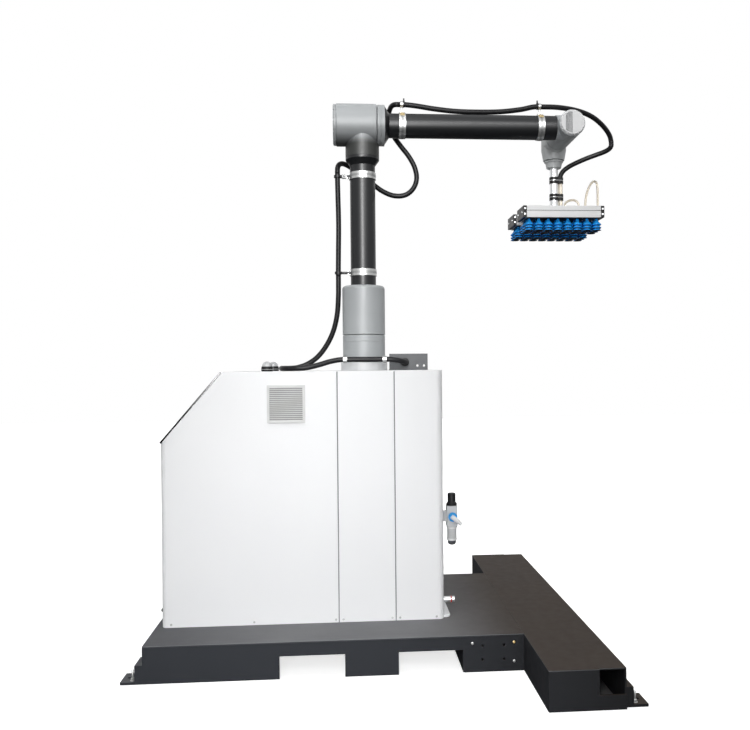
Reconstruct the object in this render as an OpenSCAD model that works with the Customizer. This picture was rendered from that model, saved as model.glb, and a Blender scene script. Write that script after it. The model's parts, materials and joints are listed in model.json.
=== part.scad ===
// Industrial robot arm on a cabinet and a fork-liftable base.
// Origin on the floor under the column axis, +Z up, the arm reaching along +X, the front facing -Y.

/* [Base] */
// Height of the deck above the floor
deck_h = 140; // [120:1:170]
// Thickness of the base sheets
base_sheet = 6; // [4:0.5:8]
// Length of the deck to the left of the column axis
deck_left = 835; // [825:1:900]
// Length of the deck to the right of the column axis
deck_right = 588; // [540:1:640]
// Width of the deck across the machine
deck_w = 900; // [820:1:1000]
// Width of the crossbar along the machine
crossbar_w = 268; // [220:1:320]
// Length of the crossbar across the machine
crossbar_len = 1662; // [1400:1:1800]
// Width of the notch in each crossbar end
notch_w = 94; // [60:1:110]
// Height of the notch in each crossbar end
notch_h = 88; // [60:1:95]
// Clear height of a fork pocket
pocket_h = 85; // [60:1:95]
// Clear width of a fork pocket
pocket_w = 243; // [210:1:260]
// Width of the skid between the fork pockets
skid_w = 202; // [150:1:220]
// Middle of the skid along X
skid_x = 10; // [-10:1:20]

/* [Skirt holes] */
// Middle of the hole rectangle along X
plate_x = 470; // [450:1:490]
// Height of the middle of the hole rectangle
plate_z = 73; // [60:1:80]
// Spacing of the holes along X
plate_dx = 82; // [60:1:100]
// Spacing of the holes along Z
plate_dz = 53; // [40:1:60]
// Diameter of the holes
plate_hole_d = 9; // [6:0.5:10]

/* [Anchor feet] */
// Reach of a foot beyond the base
foot_reach = 80; // [60:1:100]
// Depth of a foot along the base
foot_depth = 93; // [70:1:110]
// Thickness of a floor plate
foot_plate = 10; // [6:1:14]
// Width of the upright block
foot_block = 28; // [20:1:34]
// Height of the upright block
foot_block_h = 70; // [50:1:90]
// Diameter of the anchor hole
anchor_d = 14; // [10:1:18]
// Distance of the anchor hole from the outer edge
anchor_edge = 24; // [18:1:24]
// Distance of the right feet from the crossbar ends
foot_inset = 16; // [0:1:60]

/* [Cabinet] */
// Length of the cabinet to the left of the column axis
cabinet_left = 809; // [780:1:820]
// Length of the cabinet to the right of the column axis
cabinet_right = 309; // [295:1:330]
// Width of the cabinet across the machine
cabinet_w = 488; // [440:1:520]
// Height of the cabinet above the deck
cabinet_h = 1004; // [950:1:1050]
// Thickness of the cabinet sheet
cabinet_sheet = 3; // [2:0.5:4]
// Outer radius of the upright corners
corner_r = 22; // [12:1:30]
// Height of the foot of the slope above the deck
slope_foot = 721; // [650:1:780]
// Length of the slope along X
slope_run = 244; // [200:1:280]
// Distance of the panel seams from the column axis
seam_x = 114; // [105:1:130]
// Width of a panel seam
seam_gap = 4; // [2:0.5:6]
// Width of the frame bars behind the panels
frame_bar = 30; // [20:1:40]
// Reach of the foot flange at the right end
flange_reach = 28; // [15:1:40]
// Thickness of the foot flange
flange_t = 8; // [5:1:12]

/* [Operator panel] */
// Length of the operator panel up the slope
panel_len = 314; // [250:1:320]
// Width of the operator panel
panel_w = 400; // [300:1:440]
// Thickness of the operator panel
panel_t = 5; // [3:0.5:8]
// Distance of the operator panel from the foot of the slope
panel_start = 45; // [25:1:48]

/* [Vent grille] */
// Side of the square grille
grille_size = 150; // [120:1:180]
// Depth of the grille
grille_t = 8; // [6:0.5:12]
// Middle of the grille along X
grille_x = -316; // [-360:1:-280]
// Middle of the grille below the cabinet top
grille_drop = 129; // [110:1:160]
// Number of slats
slats = 17; // [8:1:20]
// Width of the rim around the slats
grille_rim = 10; // [6:1:16]
// Depth of the slots between the slats
slot_depth = 5; // [2:0.5:5]

/* [Top fittings] */
// Diameter of a dome lamp base
lamp_d = 47; // [40:1:60]
// Height of a dome lamp base
lamp_base_h = 16; // [10:1:24]
// Radius of a lamp dome
dome_r = 20; // [15:0.5:20]
// Straight height under a lamp dome
dome_wall = 5; // [2:0.5:10]
// Middle of the dome lamps along X
lamp_x = -399; // [-430:1:-360]
// Distance of the dome lamps from the middle plane
lamp_y = 145; // [120:1:170]
// Left edge of the hose bracket
bracket_x = 106; // [103:1:120]
// Length of the hose bracket
bracket_len = 164; // [150:1:175]
// Height of the hose bracket
bracket_h = 70; // [55:1:90]
// Distance of the hose bracket's face in front of the column axis
bracket_y = 40; // [30:1:50]
// Thickness of the hose bracket
bracket_t = 5; // [3:0.5:8]
// Depth of the bracket foot
bracket_foot = 36; // [25:1:50]
// Diameter of the bracket holes
bracket_hole_d = 10; // [6:0.5:12]
// Distance of the last bracket hole from the edge
bracket_edge = 16; // [10:1:20]
// Spacing of the bracket holes
bracket_pitch = 28; // [22:1:34]
// Height of the bracket holes above the cabinet
bracket_hole_z = 19; // [16:1:30]

/* [Air service unit] */
// Height of the regulator's lower face above the deck
regulator_z = 346; // [300:1:400]
// Distance of the regulator axis from the front-to-back middle plane
regulator_y = 100; // [60:1:160]
// Distance of the regulator axis from the cabinet
regulator_reach = 51; // [45:1:60]
// Side of the regulator body
regulator_w = 45; // [36:1:50]
// Height of the regulator body
regulator_h = 88; // [70:1:100]
// Diameter of the regulator knob
knob_d = 45; // [36:1:50]
// Height of the regulator knob
knob_h = 52; // [40:1:60]
// Diameter of the bowl
bowl_d = 40; // [32:1:44]
// Height of the bowl
bowl_h = 78; // [60:1:90]
// Diameter of the blue collar
collar_d = 30; // [22:1:36]
// Depth of the valve collar
valve_t = 18; // [14:1:24]
// Diameter of the valve stub
valve_stub_d = 15; // [10:1:17]
// Length of the valve stub from the middle of the collar
valve_stub_len = 44; // [30:1:50]
// Angle of the valve stub below level
stub_angle = 40; // [0:5:60]
// Diameter of the air inlet
inlet_d = 24; // [18:1:30]
// Height of the air inlet above the deck
inlet_z = 38; // [30:1:60]
// Reach of the air inlet from the cabinet
inlet_reach = 60; // [50:1:70]

/* [Column] */
// Diameter of the pedestal flange
pedestal_d = 198; // [190:1:200]
// Height of the pedestal flange
pedestal_h = 36; // [25:1:45]
// Diameter of the fixed base housing
base_d = 180; // [170:1:186]
// Height of the fixed base housing
base_h = 114; // [100:1:130]
// Open height of a turning seam
turn_seam = 3; // [2:0.5:5]
// Running clearance at a turning seam
run_gap = 0.3; // [0.3:0.1:0.6]
// Diameter of the turret
turret_d = 182; // [170:1:190]
// Height of the turret
turret_h = 208; // [190:1:230]
// Rounding of the turret top
turret_round = 14; // [6:1:20]
// Diameter of the upper tube
upper_d = 108; // [100:1:116]
// Length of the upper tube
upper_len = 513; // [500:1:540]
// Height of the flare above the upper tube
flare_h = 37; // [30:1:45]
// Diameter of the flare and the elbow stub
stub_d = 144; // [130:1:150]

/* [Elbow and forearm] */
// Diameter of the elbow housing
elbow_d = 178; // [165:1:190]
// Reach of the elbow housing to the left of the column axis
elbow_left = 112; // [100:1:125]
// Rounding of the elbow housing's ends
elbow_edge = 6; // [3:0.5:10]
// Depth of the elbow cap
elbow_cap_t = 12; // [8:1:16]
// Reach of the elbow housing to the right of the column axis
elbow_right = 61; // [55:1:75]
// Height of the forearm axis above the flare
elbow_rise = 139; // [125:1:150]
// Diameter of the forearm ring
ring_d = 172; // [160:1:176]
// Length of the forearm ring
ring_len = 34; // [25:1:40]
// Side of the grooves round the forearm ring
ring_groove = 1.5; // [1:0.5:3]
// Length of the forearm flare
fore_flare = 20; // [14:1:30]
// Wide diameter of the forearm flare
fore_flare_d = 163; // [140:1:165]
// Diameter of the forearm tube
fore_d = 103; // [96:1:106]
// Length of the forearm tube
fore_len = 726; // [700:1:760]

/* [Wrist] */
// Diameter of the wrist housing
wrist_d = 112; // [108:1:116]
// Distance of the wrist axis from the end of the forearm tube
wrist_reach = 54; // [50:1:60]
// Reach of the wrist housing in front of the forearm axis
wrist_front = 84; // [70:1:95]
// Reach of the wrist housing behind the forearm axis
wrist_back = 150; // [140:1:155]
// Depth of the wrist cap
cap_t = 12; // [8:1:16]
// Diameter of the wrist cap
cap_d = 106; // [96:1:107]
// Number of notches in the rim of a cap
cap_notches = 12; // [6:1:16]
// Distance of the tool axis behind the forearm axis
tool_y = 232; // [228:1:245]
// Diameter of the tool joint housing
joint_d = 114; // [108:1:116]
// Reach of the tool joint housing above the wrist axis
joint_up = 57; // [57:1:70]
// Reach of the tool joint housing below the wrist axis
joint_down = 84; // [76:1:90]
// Diameter of the tool joint housing at its lower end
joint_end_d = 97; // [90:1:104]
// Height of the taper at the lower end of the tool joint housing
joint_taper = 46; // [20:1:60]
// Rounding of the tool joint housing's top
joint_edge = 10; // [4:1:20]
// Step between the rings of the tool flange
flange_step = 5; // [3:0.5:6]
// Height of the tool flange
tool_flange_h = 40; // [32:1:44]

/* [Gripper] */
// Diameter of the gripper post
post_d = 37; // [30:1:38]
// Length of the gripper post
post_len = 189; // [180:1:210]
// Thickness of the bridge plate
bridge_t = 12; // [8:1:15]
// Width of the bridge plate
bridge_w = 90; // [70:1:120]
// Length of a vacuum chamber
chamber_len = 335; // [320:1:340]
// Depth of a vacuum chamber
chamber_w = 134; // [128:1:136]
// Height of a vacuum chamber
chamber_h = 52; // [44:1:60]
// Wall of a vacuum chamber
chamber_wall = 5; // [3:0.5:8]
// Side of the groove along a chamber
chamber_groove = 3; // [2:0.5:5]
// Height of the groove above the bottom of a chamber
chamber_groove_z = 28; // [15:1:35]
// Gap between the two chambers
chamber_gap = 80; // [60:1:80]
// Thickness of a chamber end plate
end_plate = 16; // [8:1:18]
// Cups along a chamber
cups_x = 8; // [4:1:8]
// Rows of cups on a chamber
cups_y = 3; // [1:1:3]
// Spacing of the cups
cup_pitch = 44; // [43:0.5:44]
// Diameter of a cup
cup_d = 42; // [34:0.5:42]
// Height of a cup
cup_h = 55; // [45:1:65]
// Folds of a cup's bellows
cup_folds = 2; // [1:1:3]

/* [Hose] */
// Outer diameter of the hose
hose_d = 22; // [18:0.5:22]
// Clearance of a clip around the hose
hose_gap = 0.5; // [0.4:0.1:0.8]
// Wall of a clip around the hose
clip_wall = 3; // [2:0.5:4]
// Width of a tube clamp
clamp_w = 28; // [20:1:30]
// Thickness of a clamp band
clamp_t = 3; // [2:0.5:5]
// Width of the screw housing on a band
screw_w = 20; // [14:1:26]
// Length of the screw housing on a band
screw_len = 16; // [10:1:20]
// Height of the screw housing above the tube
screw_h = 12; // [8:1:14]
// Diameter of the link between a band and its clip
link_d = 7; // [5:0.5:10]
// Width of a clip on a link
clip_w = 10; // [8:1:16]
// Diameter of the clear tube beside the post
drop_tube_d = 20; // [14:0.5:20]
// Diameter of the vacuum tubes
vacuum_d = 10; // [6:0.5:10]

/* [Hidden] */
$fn = 96;
over = 1;
black_steel = "#1b1c1e";
cabinet_white = "#e8e8e6";
arm_grey = "#6f7477";
light_metal = "#c9cccd";
hose_black = "#141415";

cabinet_top = deck_h + cabinet_h;
slope_foot_z = deck_h + slope_foot;
slope_rise = cabinet_top - slope_foot_z;
slope_angle = atan2(slope_rise, slope_run);
slope_top_x = slope_run - cabinet_left;
slope_drop = cabinet_sheet / cos(slope_angle);
panel_bottom_x = corner_r - cabinet_left;
right_panel_end = cabinet_right - corner_r;
skirt_h = deck_h - base_sheet;
inner_half = deck_w / 2 - base_sheet;
skid_left = skid_x - skid_w / 2;
skid_right = skid_x + skid_w / 2;
pocket_left_x = skid_left - pocket_w;
wall_x = skid_right + pocket_w;
crossbar_end = deck_right + crossbar_w;
front_y = -cabinet_w / 2;
regulator_x = cabinet_right + regulator_reach;

pedestal_top = cabinet_top + pedestal_h;
base_top = pedestal_top + base_h;
turret_bottom = base_top + turn_seam;
turret_top = turret_bottom + turret_h;
upper_top = turret_top + upper_len;
flare_top = upper_top + flare_h;
arm_z = flare_top + elbow_rise;
flare_cone = 0.68;
ring_grooves = [ring_len * 0.4, ring_len * 0.6];
ring_end = elbow_right + ring_len;
tube_start = ring_end + fore_flare;
tube_end = tube_start + fore_len;
wrist_x = tube_end + wrist_reach;
joint_bottom = arm_z - joint_down;
flange_bottom = joint_bottom - tool_flange_h;
post_bottom = flange_bottom - post_len;
chamber_top = post_bottom - bridge_t;
chamber_bottom = chamber_top - chamber_h;
chamber_offset = (chamber_gap + chamber_w) / 2;
bridge_len = chamber_gap + chamber_w;
spigot_share = 0.8;

// Shares of a piece's own size at which its outline changes
ear_share = 0.6;
knob_neck = 0.76;
knob_collar = 0.2;
knob_edge = 0.05;
bowl_nose = 0.3;
bowl_nose_h = 0.1;
bowl_taper = 0.3;
base_groove_share = 0.76;
cap_edge = 0.3;
notch_share = 1 / 14;
cup_neck = 0.18;
cup_top = 0.5;
cup_waist = 0.66;
fold_start = 0.4;
fold_end = 0.55;
fold_close = 0.95;
lip_fold = 0.5;
spigot_fit = 0.1;

// Clip places on the arm, and the hose route through them. Heights are written for a cabinet
// whose top is at route_top, and they rise and fall with it.
route_top = 1144;
lift = cabinet_top - route_top;
column_clip_x = -107;
column_clip_z = [1562 + lift, 1974 + lift];
forearm_clip_x = [171, 772];
forearm_clip_z = 92;
base_clip_x = [-82, 82];
base_clip_y = -118;
base_clip_z = 1190 + lift;
base_clip_w = 16;
gland_x = 172;
gland_z = 1178 + lift;
gland_d = 36;
gland_nut = 10;
gland_reach = 22;
strap_z = [post_bottom + 59, post_bottom + 137];
strap_h = 30;
strap_t = 2.5;
hose_post_gap = 1;
hose_post_x = wrist_x + post_d / 2 + hose_d / 2 + hose_post_gap;

base_route = [
    [172, -62, 1178], [172, -80, 1178], [164, -99, 1180], [145, -113, 1184], [120, -118, 1188],
    [100, -118, 1190], [64, -118, 1190], [0, -119, 1190],
    [-64, -118, 1190], [-100, -118, 1190], [-145, -124, 1182], [-190, -133, 1169], [-240, -141, 1158],
    [-290, -136, 1156], [-328, -110, 1156], [-346, -68, 1156], [-346, -24, 1156], [-325, 16, 1156],
    [-287, 38, 1159], [-245, 42, 1173], [-200, 38, 1204], [-160, 30, 1255], [-131, 20, 1315],
    [-114, 10, 1385], [-108, 2, 1460], [-107, 0, 1520], [-107, 0, 1548]
];
column_route = [
    [-107, 0, 1548], [-107, 0, 1576], [-106, 0, 1640], [-104, 0, 1770], [-106, 0, 1900],
    [-107, 0, 1960], [-107, 0, 1988]
];
elbow_route = [
    [-107, 0, 1988], [-107, 0, 1996], [-106, 7, 2014], [-100, 22, 2030], [-86, 42, 2040], [-62, 64, 2037],
    [-30, 82, 2020], [10, 90, 1994], [50, 87, 1960], [92, 77, 1928], [140, 67, 1908], [188, 62, 1911],
    [222, 62, 1938], [238, 62, 1980], [231, 64, 2030], [206, 68, 2080], [172, 74, 2126], [140, 82, 2174],
    [121, 86, 2222], [118, 70, 2262], [125, 36, 2283], [135, 12, 2287], [146, 0, 2286], [157, 0, 2286]
];
forearm_route = [
    [157, 0, 2286], [185, 0, 2286], [235, 0, 2281], [310, 0, 2270], [400, 0, 2261], [500, 0, 2259],
    [600, 0, 2262], [690, 0, 2273], [740, 0, 2284], [758, 0, 2286], [786, 0, 2286]
];
wrist_route = [
    [786, 0, 2286], [796, 0, 2286], [840, 4, 2287], [885, 12, 2286], [935, 26, 2283], [985, 46, 2277],
    [1030, 68, 2266], [1070, 92, 2249], [1106, 114, 2225], [1129, 130, 2200], [1138, 138, 2176],
    [1138, 138, 2168]
];
tool_route = [
    [1138, 138, 2168], [1138, 138, 2158], [1131, 147, 2146], [1112, 160, 2136], [1080, 175, 2126],
    [1040, 188, 2113], [996, 204, 2096], [962, 220, 2080], [937, 230, 2060], [925.5, 232, 2036],
    [925.5, 232, 2004]
];
drop_tube_route = [[925.5, 232, 2004], [925.5, 232, 1945], [925.5, 232, 1881]];
low_tube_route = [
    [918, 130, 1881], [918, 130, 1888], [925, 127, 1898], [940, 120, 1904], [957, 112, 1903],
    [970, 106, 1893], [975, 105, 1880], [975, 105, 1869]
];
tall_tube_route = [
    [998, 80, 1869], [998, 80, 1880], [1001, 80, 1908], [1009, 80, 1940], [1022, 80, 1967],
    [1037, 80, 1982], [1049, 80, 1977], [1054, 80, 1955], [1055, 80, 1915], [1055, 80, 1869]
];
hose_sides = 8;

function unit(v) = v / norm(v);
function slope_z(x) = slope_foot_z + (x + cabinet_left) * slope_rise / slope_run;
function tangent(path, i) = unit(path[min(i + 1, len(path) - 1)] - path[max(i - 1, 0)]);
function square_to(v, t) = unit(v - (v * t) * t);
function sides(path) = [
    for (i = 0, s = square_to([0.1, 1, 0.2], tangent(path, 0)); i < len(path);
         i = i + 1, s = i < len(path) ? square_to(s, tangent(path, i)) : s) s
];
function ring(path, i, side, r) = [
    for (k = [0 : hose_sides - 1])
        path[i] + r * (cos(360 * k / hose_sides) * side
                       + sin(360 * k / hose_sides) * cross(tangent(path, i), side))
];

// One tube swept along the points of a route, which rises with the cabinet
module swept_tube(path, d) {
    side = sides(path);
    rings = len(path);
    n = hose_sides;
    points = [for (i = [0 : rings - 1]) each ring(path, i, side[i], d / 2)];
    walls = [
        for (i = [0 : rings - 2]) for (k = [0 : n - 1])
            let (a = i * n + k, b = i * n + (k + 1) % n)
                each [[a, a + n, b + n], [a, b + n, b]]
    ];
    caps = [[for (k = [0 : n - 1]) k], [for (k = [n - 1 : -1 : 0]) (rings - 1) * n + k]];
    translate([0, 0, lift])
        polyhedron(points = points, faces = concat(walls, caps));
}

// A flat XZ shape carried along Y, from y0 to y1
module along_y(y0, y1) {
    translate([0, y1, 0])
        rotate([90, 0, 0])
            linear_extrude(y1 - y0)
                children();
}

// A round bar along X
module bar_x(x0, x1, y, z, d) {
    translate([x0, y, z])
        rotate([0, 90, 0])
            cylinder(d = d, h = x1 - x0);
}

// A round bar along Y
module bar_y(x, y0, y1, z, d) {
    translate([x, y1, z])
        rotate([90, 0, 0])
            cylinder(d = d, h = y1 - y0);
}

// A rectangle in plan with round corners
module rounded_plan(x0, x1, half, r) {
    translate([x0 + r, -half])
        square([x1 - x0 - 2 * r, 2 * half]);
    translate([x0, r - half])
        square([x1 - x0, 2 * (half - r)]);
    for (x = [x0 + r, x1 - r], y = [r - half, half - r])
        translate([x, y])
            circle(r);
}

module cabinet_plan(inset) {
    rounded_plan(inset - cabinet_left, cabinet_right - inset, cabinet_w / 2 - inset, corner_r - inset);
}

module deck_plate() {
    color(black_steel)
        translate([-deck_left, -deck_w / 2, skirt_h])
            cube([deck_left + deck_right, deck_w, base_sheet]);
}

// A long side sheet with the two fork pockets cut out
module skirt_sheet() {
    along_y(-deck_w / 2, -inner_half)
        difference() {
            translate([-deck_left, 0])
                square([deck_left + deck_right, skirt_h]);
            for (x = [pocket_left_x, skid_right])
                translate([x, -over])
                    square([pocket_w, pocket_h + over]);
        }
}

module front_skirt() {
    color(black_steel)
        difference() {
            skirt_sheet();
            for (x = [-plate_dx / 2, plate_dx / 2], z = [-plate_dz / 2, plate_dz / 2])
                bar_y(plate_x + x, -deck_w / 2 - over, over - inner_half, plate_z + z, plate_hole_d);
        }
}

module back_skirt() {
    color(black_steel)
        mirror([0, 1, 0])
            skirt_sheet();
}

module left_skirt() {
    color(black_steel)
        translate([-deck_left, -inner_half, 0])
            cube([base_sheet, 2 * inner_half, skirt_h]);
}

module middle_skid() {
    color(black_steel)
        along_y(-inner_half, inner_half)
            difference() {
                translate([skid_left, 0])
                    square([skid_w, skirt_h]);
                translate([skid_left + base_sheet, base_sheet])
                    square([skid_w - 2 * base_sheet, skirt_h - 2 * base_sheet]);
            }
}

module cross_wall() {
    color(black_steel)
        translate([wall_x, -inner_half, 0])
            cube([base_sheet, 2 * inner_half, skirt_h]);
}

module crossbar_shell() {
    color(black_steel)
        along_y(base_sheet - crossbar_len / 2, crossbar_len / 2 - base_sheet)
            difference() {
                translate([deck_right, 0])
                    square([crossbar_w, deck_h]);
                translate([deck_right + base_sheet, -over])
                    square([crossbar_w - 2 * base_sheet, skirt_h + over]);
            }
}

// The stepped sheet that closes one end of the crossbar
module crossbar_end_sheet() {
    along_y(-crossbar_len / 2, base_sheet - crossbar_len / 2)
        polygon([
            [deck_right, 0], [crossbar_end, 0], [crossbar_end, deck_h - notch_h],
            [crossbar_end - notch_w, deck_h - notch_h], [crossbar_end - notch_w, deck_h], [deck_right, deck_h]
        ]);
}

module crossbar_ends() {
    color(black_steel) {
        crossbar_end_sheet();
        mirror([0, 1, 0])
            crossbar_end_sheet();
    }
}

// A floor plate with its upright block, reaching along +X from the base
module anchor_foot() {
    difference() {
        union() {
            translate([0, -foot_depth / 2, 0])
                cube([foot_reach, foot_depth, foot_plate]);
            translate([0, -foot_depth / 2, 0])
                cube([foot_block, foot_depth, foot_block_h]);
        }
        translate([foot_reach - anchor_edge, 0, -over])
            cylinder(d = anchor_d, h = foot_plate + 2 * over);
    }
}

module anchor_feet() {
    left_y = (deck_w - foot_depth) / 2;
    right_y = (crossbar_len - foot_depth) / 2 - foot_inset;
    color(black_steel)
        for (side = [-1, 1]) {
            translate([-deck_left, side * left_y, 0])
                mirror([1, 0, 0])
                    anchor_foot();
            translate([crossbar_end, side * right_y, 0])
                anchor_foot();
        }
}

module cabinet_frame() {
    post_y = cabinet_w / 2 - cabinet_sheet - frame_bar;
    color(black_steel)
        union() {
            translate([0, 0, deck_h])
                linear_extrude(frame_bar)
                    difference() {
                        rounded_plan(cabinet_sheet - cabinet_left, cabinet_right - cabinet_sheet,
                                     cabinet_w / 2 - cabinet_sheet, corner_r);
                        rounded_plan(cabinet_sheet + frame_bar - cabinet_left,
                                     cabinet_right - cabinet_sheet - frame_bar, post_y, corner_r);
                    }
            for (y = [-post_y - frame_bar, post_y]) {
                for (x = [-seam_x, seam_x])
                    translate([x - frame_bar / 2, y, deck_h])
                        cube([frame_bar, frame_bar, cabinet_h - cabinet_sheet]);
                translate([slope_top_x, y, cabinet_top - cabinet_sheet - frame_bar])
                    cube([right_panel_end - slope_top_x, frame_bar, frame_bar]);
            }
        }
}

// The left long panel, cut along the slope
module left_panel_sheet() {
    along_y(front_y, front_y + cabinet_sheet)
        polygon([
            [panel_bottom_x, deck_h], [-seam_x - seam_gap / 2, deck_h], [-seam_x - seam_gap / 2, cabinet_top],
            [slope_top_x, cabinet_top], [panel_bottom_x, slope_z(panel_bottom_x)]
        ]);
}

// A plain long panel between two places along X
module panel_sheet(x0, x1) {
    translate([x0, front_y, deck_h])
        cube([x1 - x0, cabinet_sheet, cabinet_h]);
}

module middle_panel_sheet() {
    panel_sheet(seam_gap / 2 - seam_x, seam_x - seam_gap / 2);
}

module right_panel_sheet() {
    panel_sheet(seam_x + seam_gap / 2, right_panel_end);
}

module front_panel_left() {
    color(cabinet_white)
        left_panel_sheet();
}

module front_panel_middle() {
    color(cabinet_white)
        middle_panel_sheet();
}

module front_panel_right() {
    color(cabinet_white)
        right_panel_sheet();
}

module back_panels() {
    color(cabinet_white)
        mirror([0, 1, 0]) {
            left_panel_sheet();
            middle_panel_sheet();
            right_panel_sheet();
        }
}

// The folded sheet round one end of the cabinet, between two places along X
module end_fold(x0, x1) {
    translate([0, 0, deck_h])
        linear_extrude(cabinet_h)
            intersection() {
                difference() {
                    cabinet_plan(0);
                    cabinet_plan(cabinet_sheet);
                }
                translate([x0, -cabinet_w / 2])
                    square([x1 - x0, cabinet_w]);
            }
}

module left_end_panel() {
    color(cabinet_white)
        intersection() {
            end_fold(-cabinet_left, panel_bottom_x);
            along_y(-cabinet_w / 2 - over, cabinet_w / 2 + over)
                polygon([
                    [-cabinet_left, deck_h], [panel_bottom_x, deck_h],
                    [panel_bottom_x, slope_z(panel_bottom_x)], [-cabinet_left, slope_foot_z]
                ]);
        }
}

module right_end_panel() {
    color(cabinet_white)
        end_fold(right_panel_end, cabinet_right);
}

module slope_panel() {
    color(cabinet_white)
        intersection() {
            along_y(-cabinet_w / 2, cabinet_w / 2)
                polygon([
                    [-cabinet_left, slope_foot_z], [slope_top_x, cabinet_top],
                    [slope_top_x, cabinet_top - slope_drop], [-cabinet_left, slope_foot_z - slope_drop]
                ]);
            translate([0, 0, deck_h])
                linear_extrude(cabinet_h)
                    cabinet_plan(cabinet_sheet);
        }
}

module top_panel() {
    color(cabinet_white)
        translate([0, 0, cabinet_top - cabinet_sheet])
            linear_extrude(cabinet_sheet)
                intersection() {
                    cabinet_plan(cabinet_sheet);
                    translate([slope_top_x, -cabinet_w / 2])
                        square([cabinet_right - slope_top_x, cabinet_w]);
                }
}

module foot_flange() {
    color(cabinet_white)
        translate([0, 0, deck_h])
            linear_extrude(flange_t)
                intersection() {
                    rounded_plan(cabinet_right - 2 * corner_r, cabinet_right + flange_reach,
                                 cabinet_w / 2 - corner_r, corner_r);
                    translate([cabinet_right, -cabinet_w / 2])
                        square([flange_reach, cabinet_w]);
                }
}

module operator_panel() {
    color("#151617")
        translate([-cabinet_left, 0, slope_foot_z])
            rotate([0, -slope_angle, 0])
                translate([panel_start, -panel_w / 2, spigot_fit])
                    cube([panel_len, panel_w, panel_t]);
}

module vent_grille() {
    field = grille_size - 2 * grille_rim;
    pitch = field / slats;
    slot = pitch / 2;
    color("#b9bdbe")
        translate([grille_x - grille_size / 2, front_y - grille_t, cabinet_top - grille_drop - grille_size / 2])
            difference() {
                cube([grille_size, grille_t, grille_size]);
                for (i = [0 : slats - 1])
                    translate([grille_rim, -over, grille_rim + i * pitch + slot / 2])
                        cube([field, slot_depth + over, slot]);
            }
}

module lamp_bases() {
    color("#202123")
        for (y = [-lamp_y, lamp_y])
            translate([lamp_x, y, cabinet_top])
                cylinder(d = lamp_d, h = lamp_base_h);
}

module lamp_domes() {
    color(light_metal)
        for (y = [-lamp_y, lamp_y])
            translate([lamp_x, y, cabinet_top + lamp_base_h])
                rotate_extrude() {
                    square([dome_r, dome_wall]);
                    translate([0, dome_wall])
                        intersection() {
                            circle(dome_r);
                            square(dome_r);
                        }
                }
}

module hose_bracket() {
    hole_x = bracket_x + bracket_len - bracket_edge;
    color("#4a4d50")
        difference() {
            union() {
                translate([bracket_x, -bracket_y, cabinet_top])
                    cube([bracket_len, bracket_t, bracket_h]);
                translate([bracket_x, -bracket_y, cabinet_top])
                    cube([bracket_len, bracket_foot, bracket_t]);
            }
            for (x = [hole_x - bracket_pitch, hole_x])
                bar_y(x, -bracket_y - over, bracket_t + over - bracket_y,
                      cabinet_top + bracket_hole_z, bracket_hole_d);
        }
}

module hose_fitting() {
    color("#2a2b2d")
        union() {
            bar_y(gland_x, -bracket_y - gland_nut, -bracket_y, gland_z, gland_d);
            bar_y(gland_x, -bracket_y - gland_reach, -bracket_y, gland_z, hose_d + 2 * clip_wall);
        }
}

module regulator_body() {
    back = regulator_reach - regulator_w / 2;
    ear = regulator_w * ear_share;
    color("#9da2a5")
        translate([regulator_x, -regulator_y, deck_h + regulator_z]) {
            translate([-regulator_w / 2, -regulator_w / 2, 0])
                cube([regulator_w, regulator_w, regulator_h]);
            translate([-regulator_reach, -ear / 2, regulator_h / 4])
                cube([back + over, ear, regulator_h / 2]);
        }
}

module regulator_knob() {
    r = knob_d / 2;
    neck = r * knob_neck;
    color("#17181a")
        translate([regulator_x, -regulator_y, deck_h + regulator_z + regulator_h])
            rotate_extrude()
                polygon([
                    [0, 0], [r, 0], [r, knob_h * knob_collar], [neck, knob_h * (knob_collar + knob_edge)],
                    [neck, knob_h * (1 - knob_edge)], [neck - knob_h * knob_edge, knob_h], [0, knob_h]
                ]);
}

module regulator_bowl() {
    r = bowl_d / 2;
    nose = r * bowl_nose;
    color("#c3c8ca")
        translate([regulator_x, -regulator_y, deck_h + regulator_z - bowl_h])
            rotate_extrude()
                polygon([
                    [0, 0], [nose, 0], [nose, bowl_h * bowl_nose_h], [2 * nose, bowl_h * bowl_nose_h],
                    [r, bowl_h * bowl_taper], [r, bowl_h], [0, bowl_h]
                ]);
}

// A collar on the front of the air unit, with a stub that points down to the right
module regulator_valve() {
    front = -regulator_y - regulator_w / 2;
    valve_z = deck_h + regulator_z + regulator_h / 2;
    color("#2f6fb0")
        union() {
            bar_y(regulator_x, front - valve_t, front, valve_z, collar_d);
            translate([regulator_x, front - valve_t / 2, valve_z])
                rotate([0, 90 + stub_angle, 0])
                    cylinder(d = valve_stub_d, h = valve_stub_len);
        }
}

module air_inlet() {
    z = deck_h + inlet_z;
    rim = inlet_d / 4;
    color(light_metal)
        union() {
            bar_x(cabinet_right, cabinet_right + rim, -regulator_y, z, inlet_d + 2 * rim);
            bar_x(cabinet_right, cabinet_right + inlet_reach, -regulator_y, z, inlet_d);
        }
}

module pedestal_flange() {
    color(light_metal)
        translate([0, 0, cabinet_top])
            cylinder(d = pedestal_d, h = pedestal_h);
}

module base_housing() {
    groove_z = base_h * base_groove_share;
    groove = 1.5;
    color(arm_grey)
        translate([0, 0, pedestal_top])
            difference() {
                cylinder(d = base_d, h = base_h);
                translate([0, 0, groove_z])
                    difference() {
                        cylinder(d = base_d + 2 * over, h = groove);
                        translate([0, 0, -over])
                            cylinder(d = base_d - 2 * groove, h = groove + 2 * over);
                    }
            }
}

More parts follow.
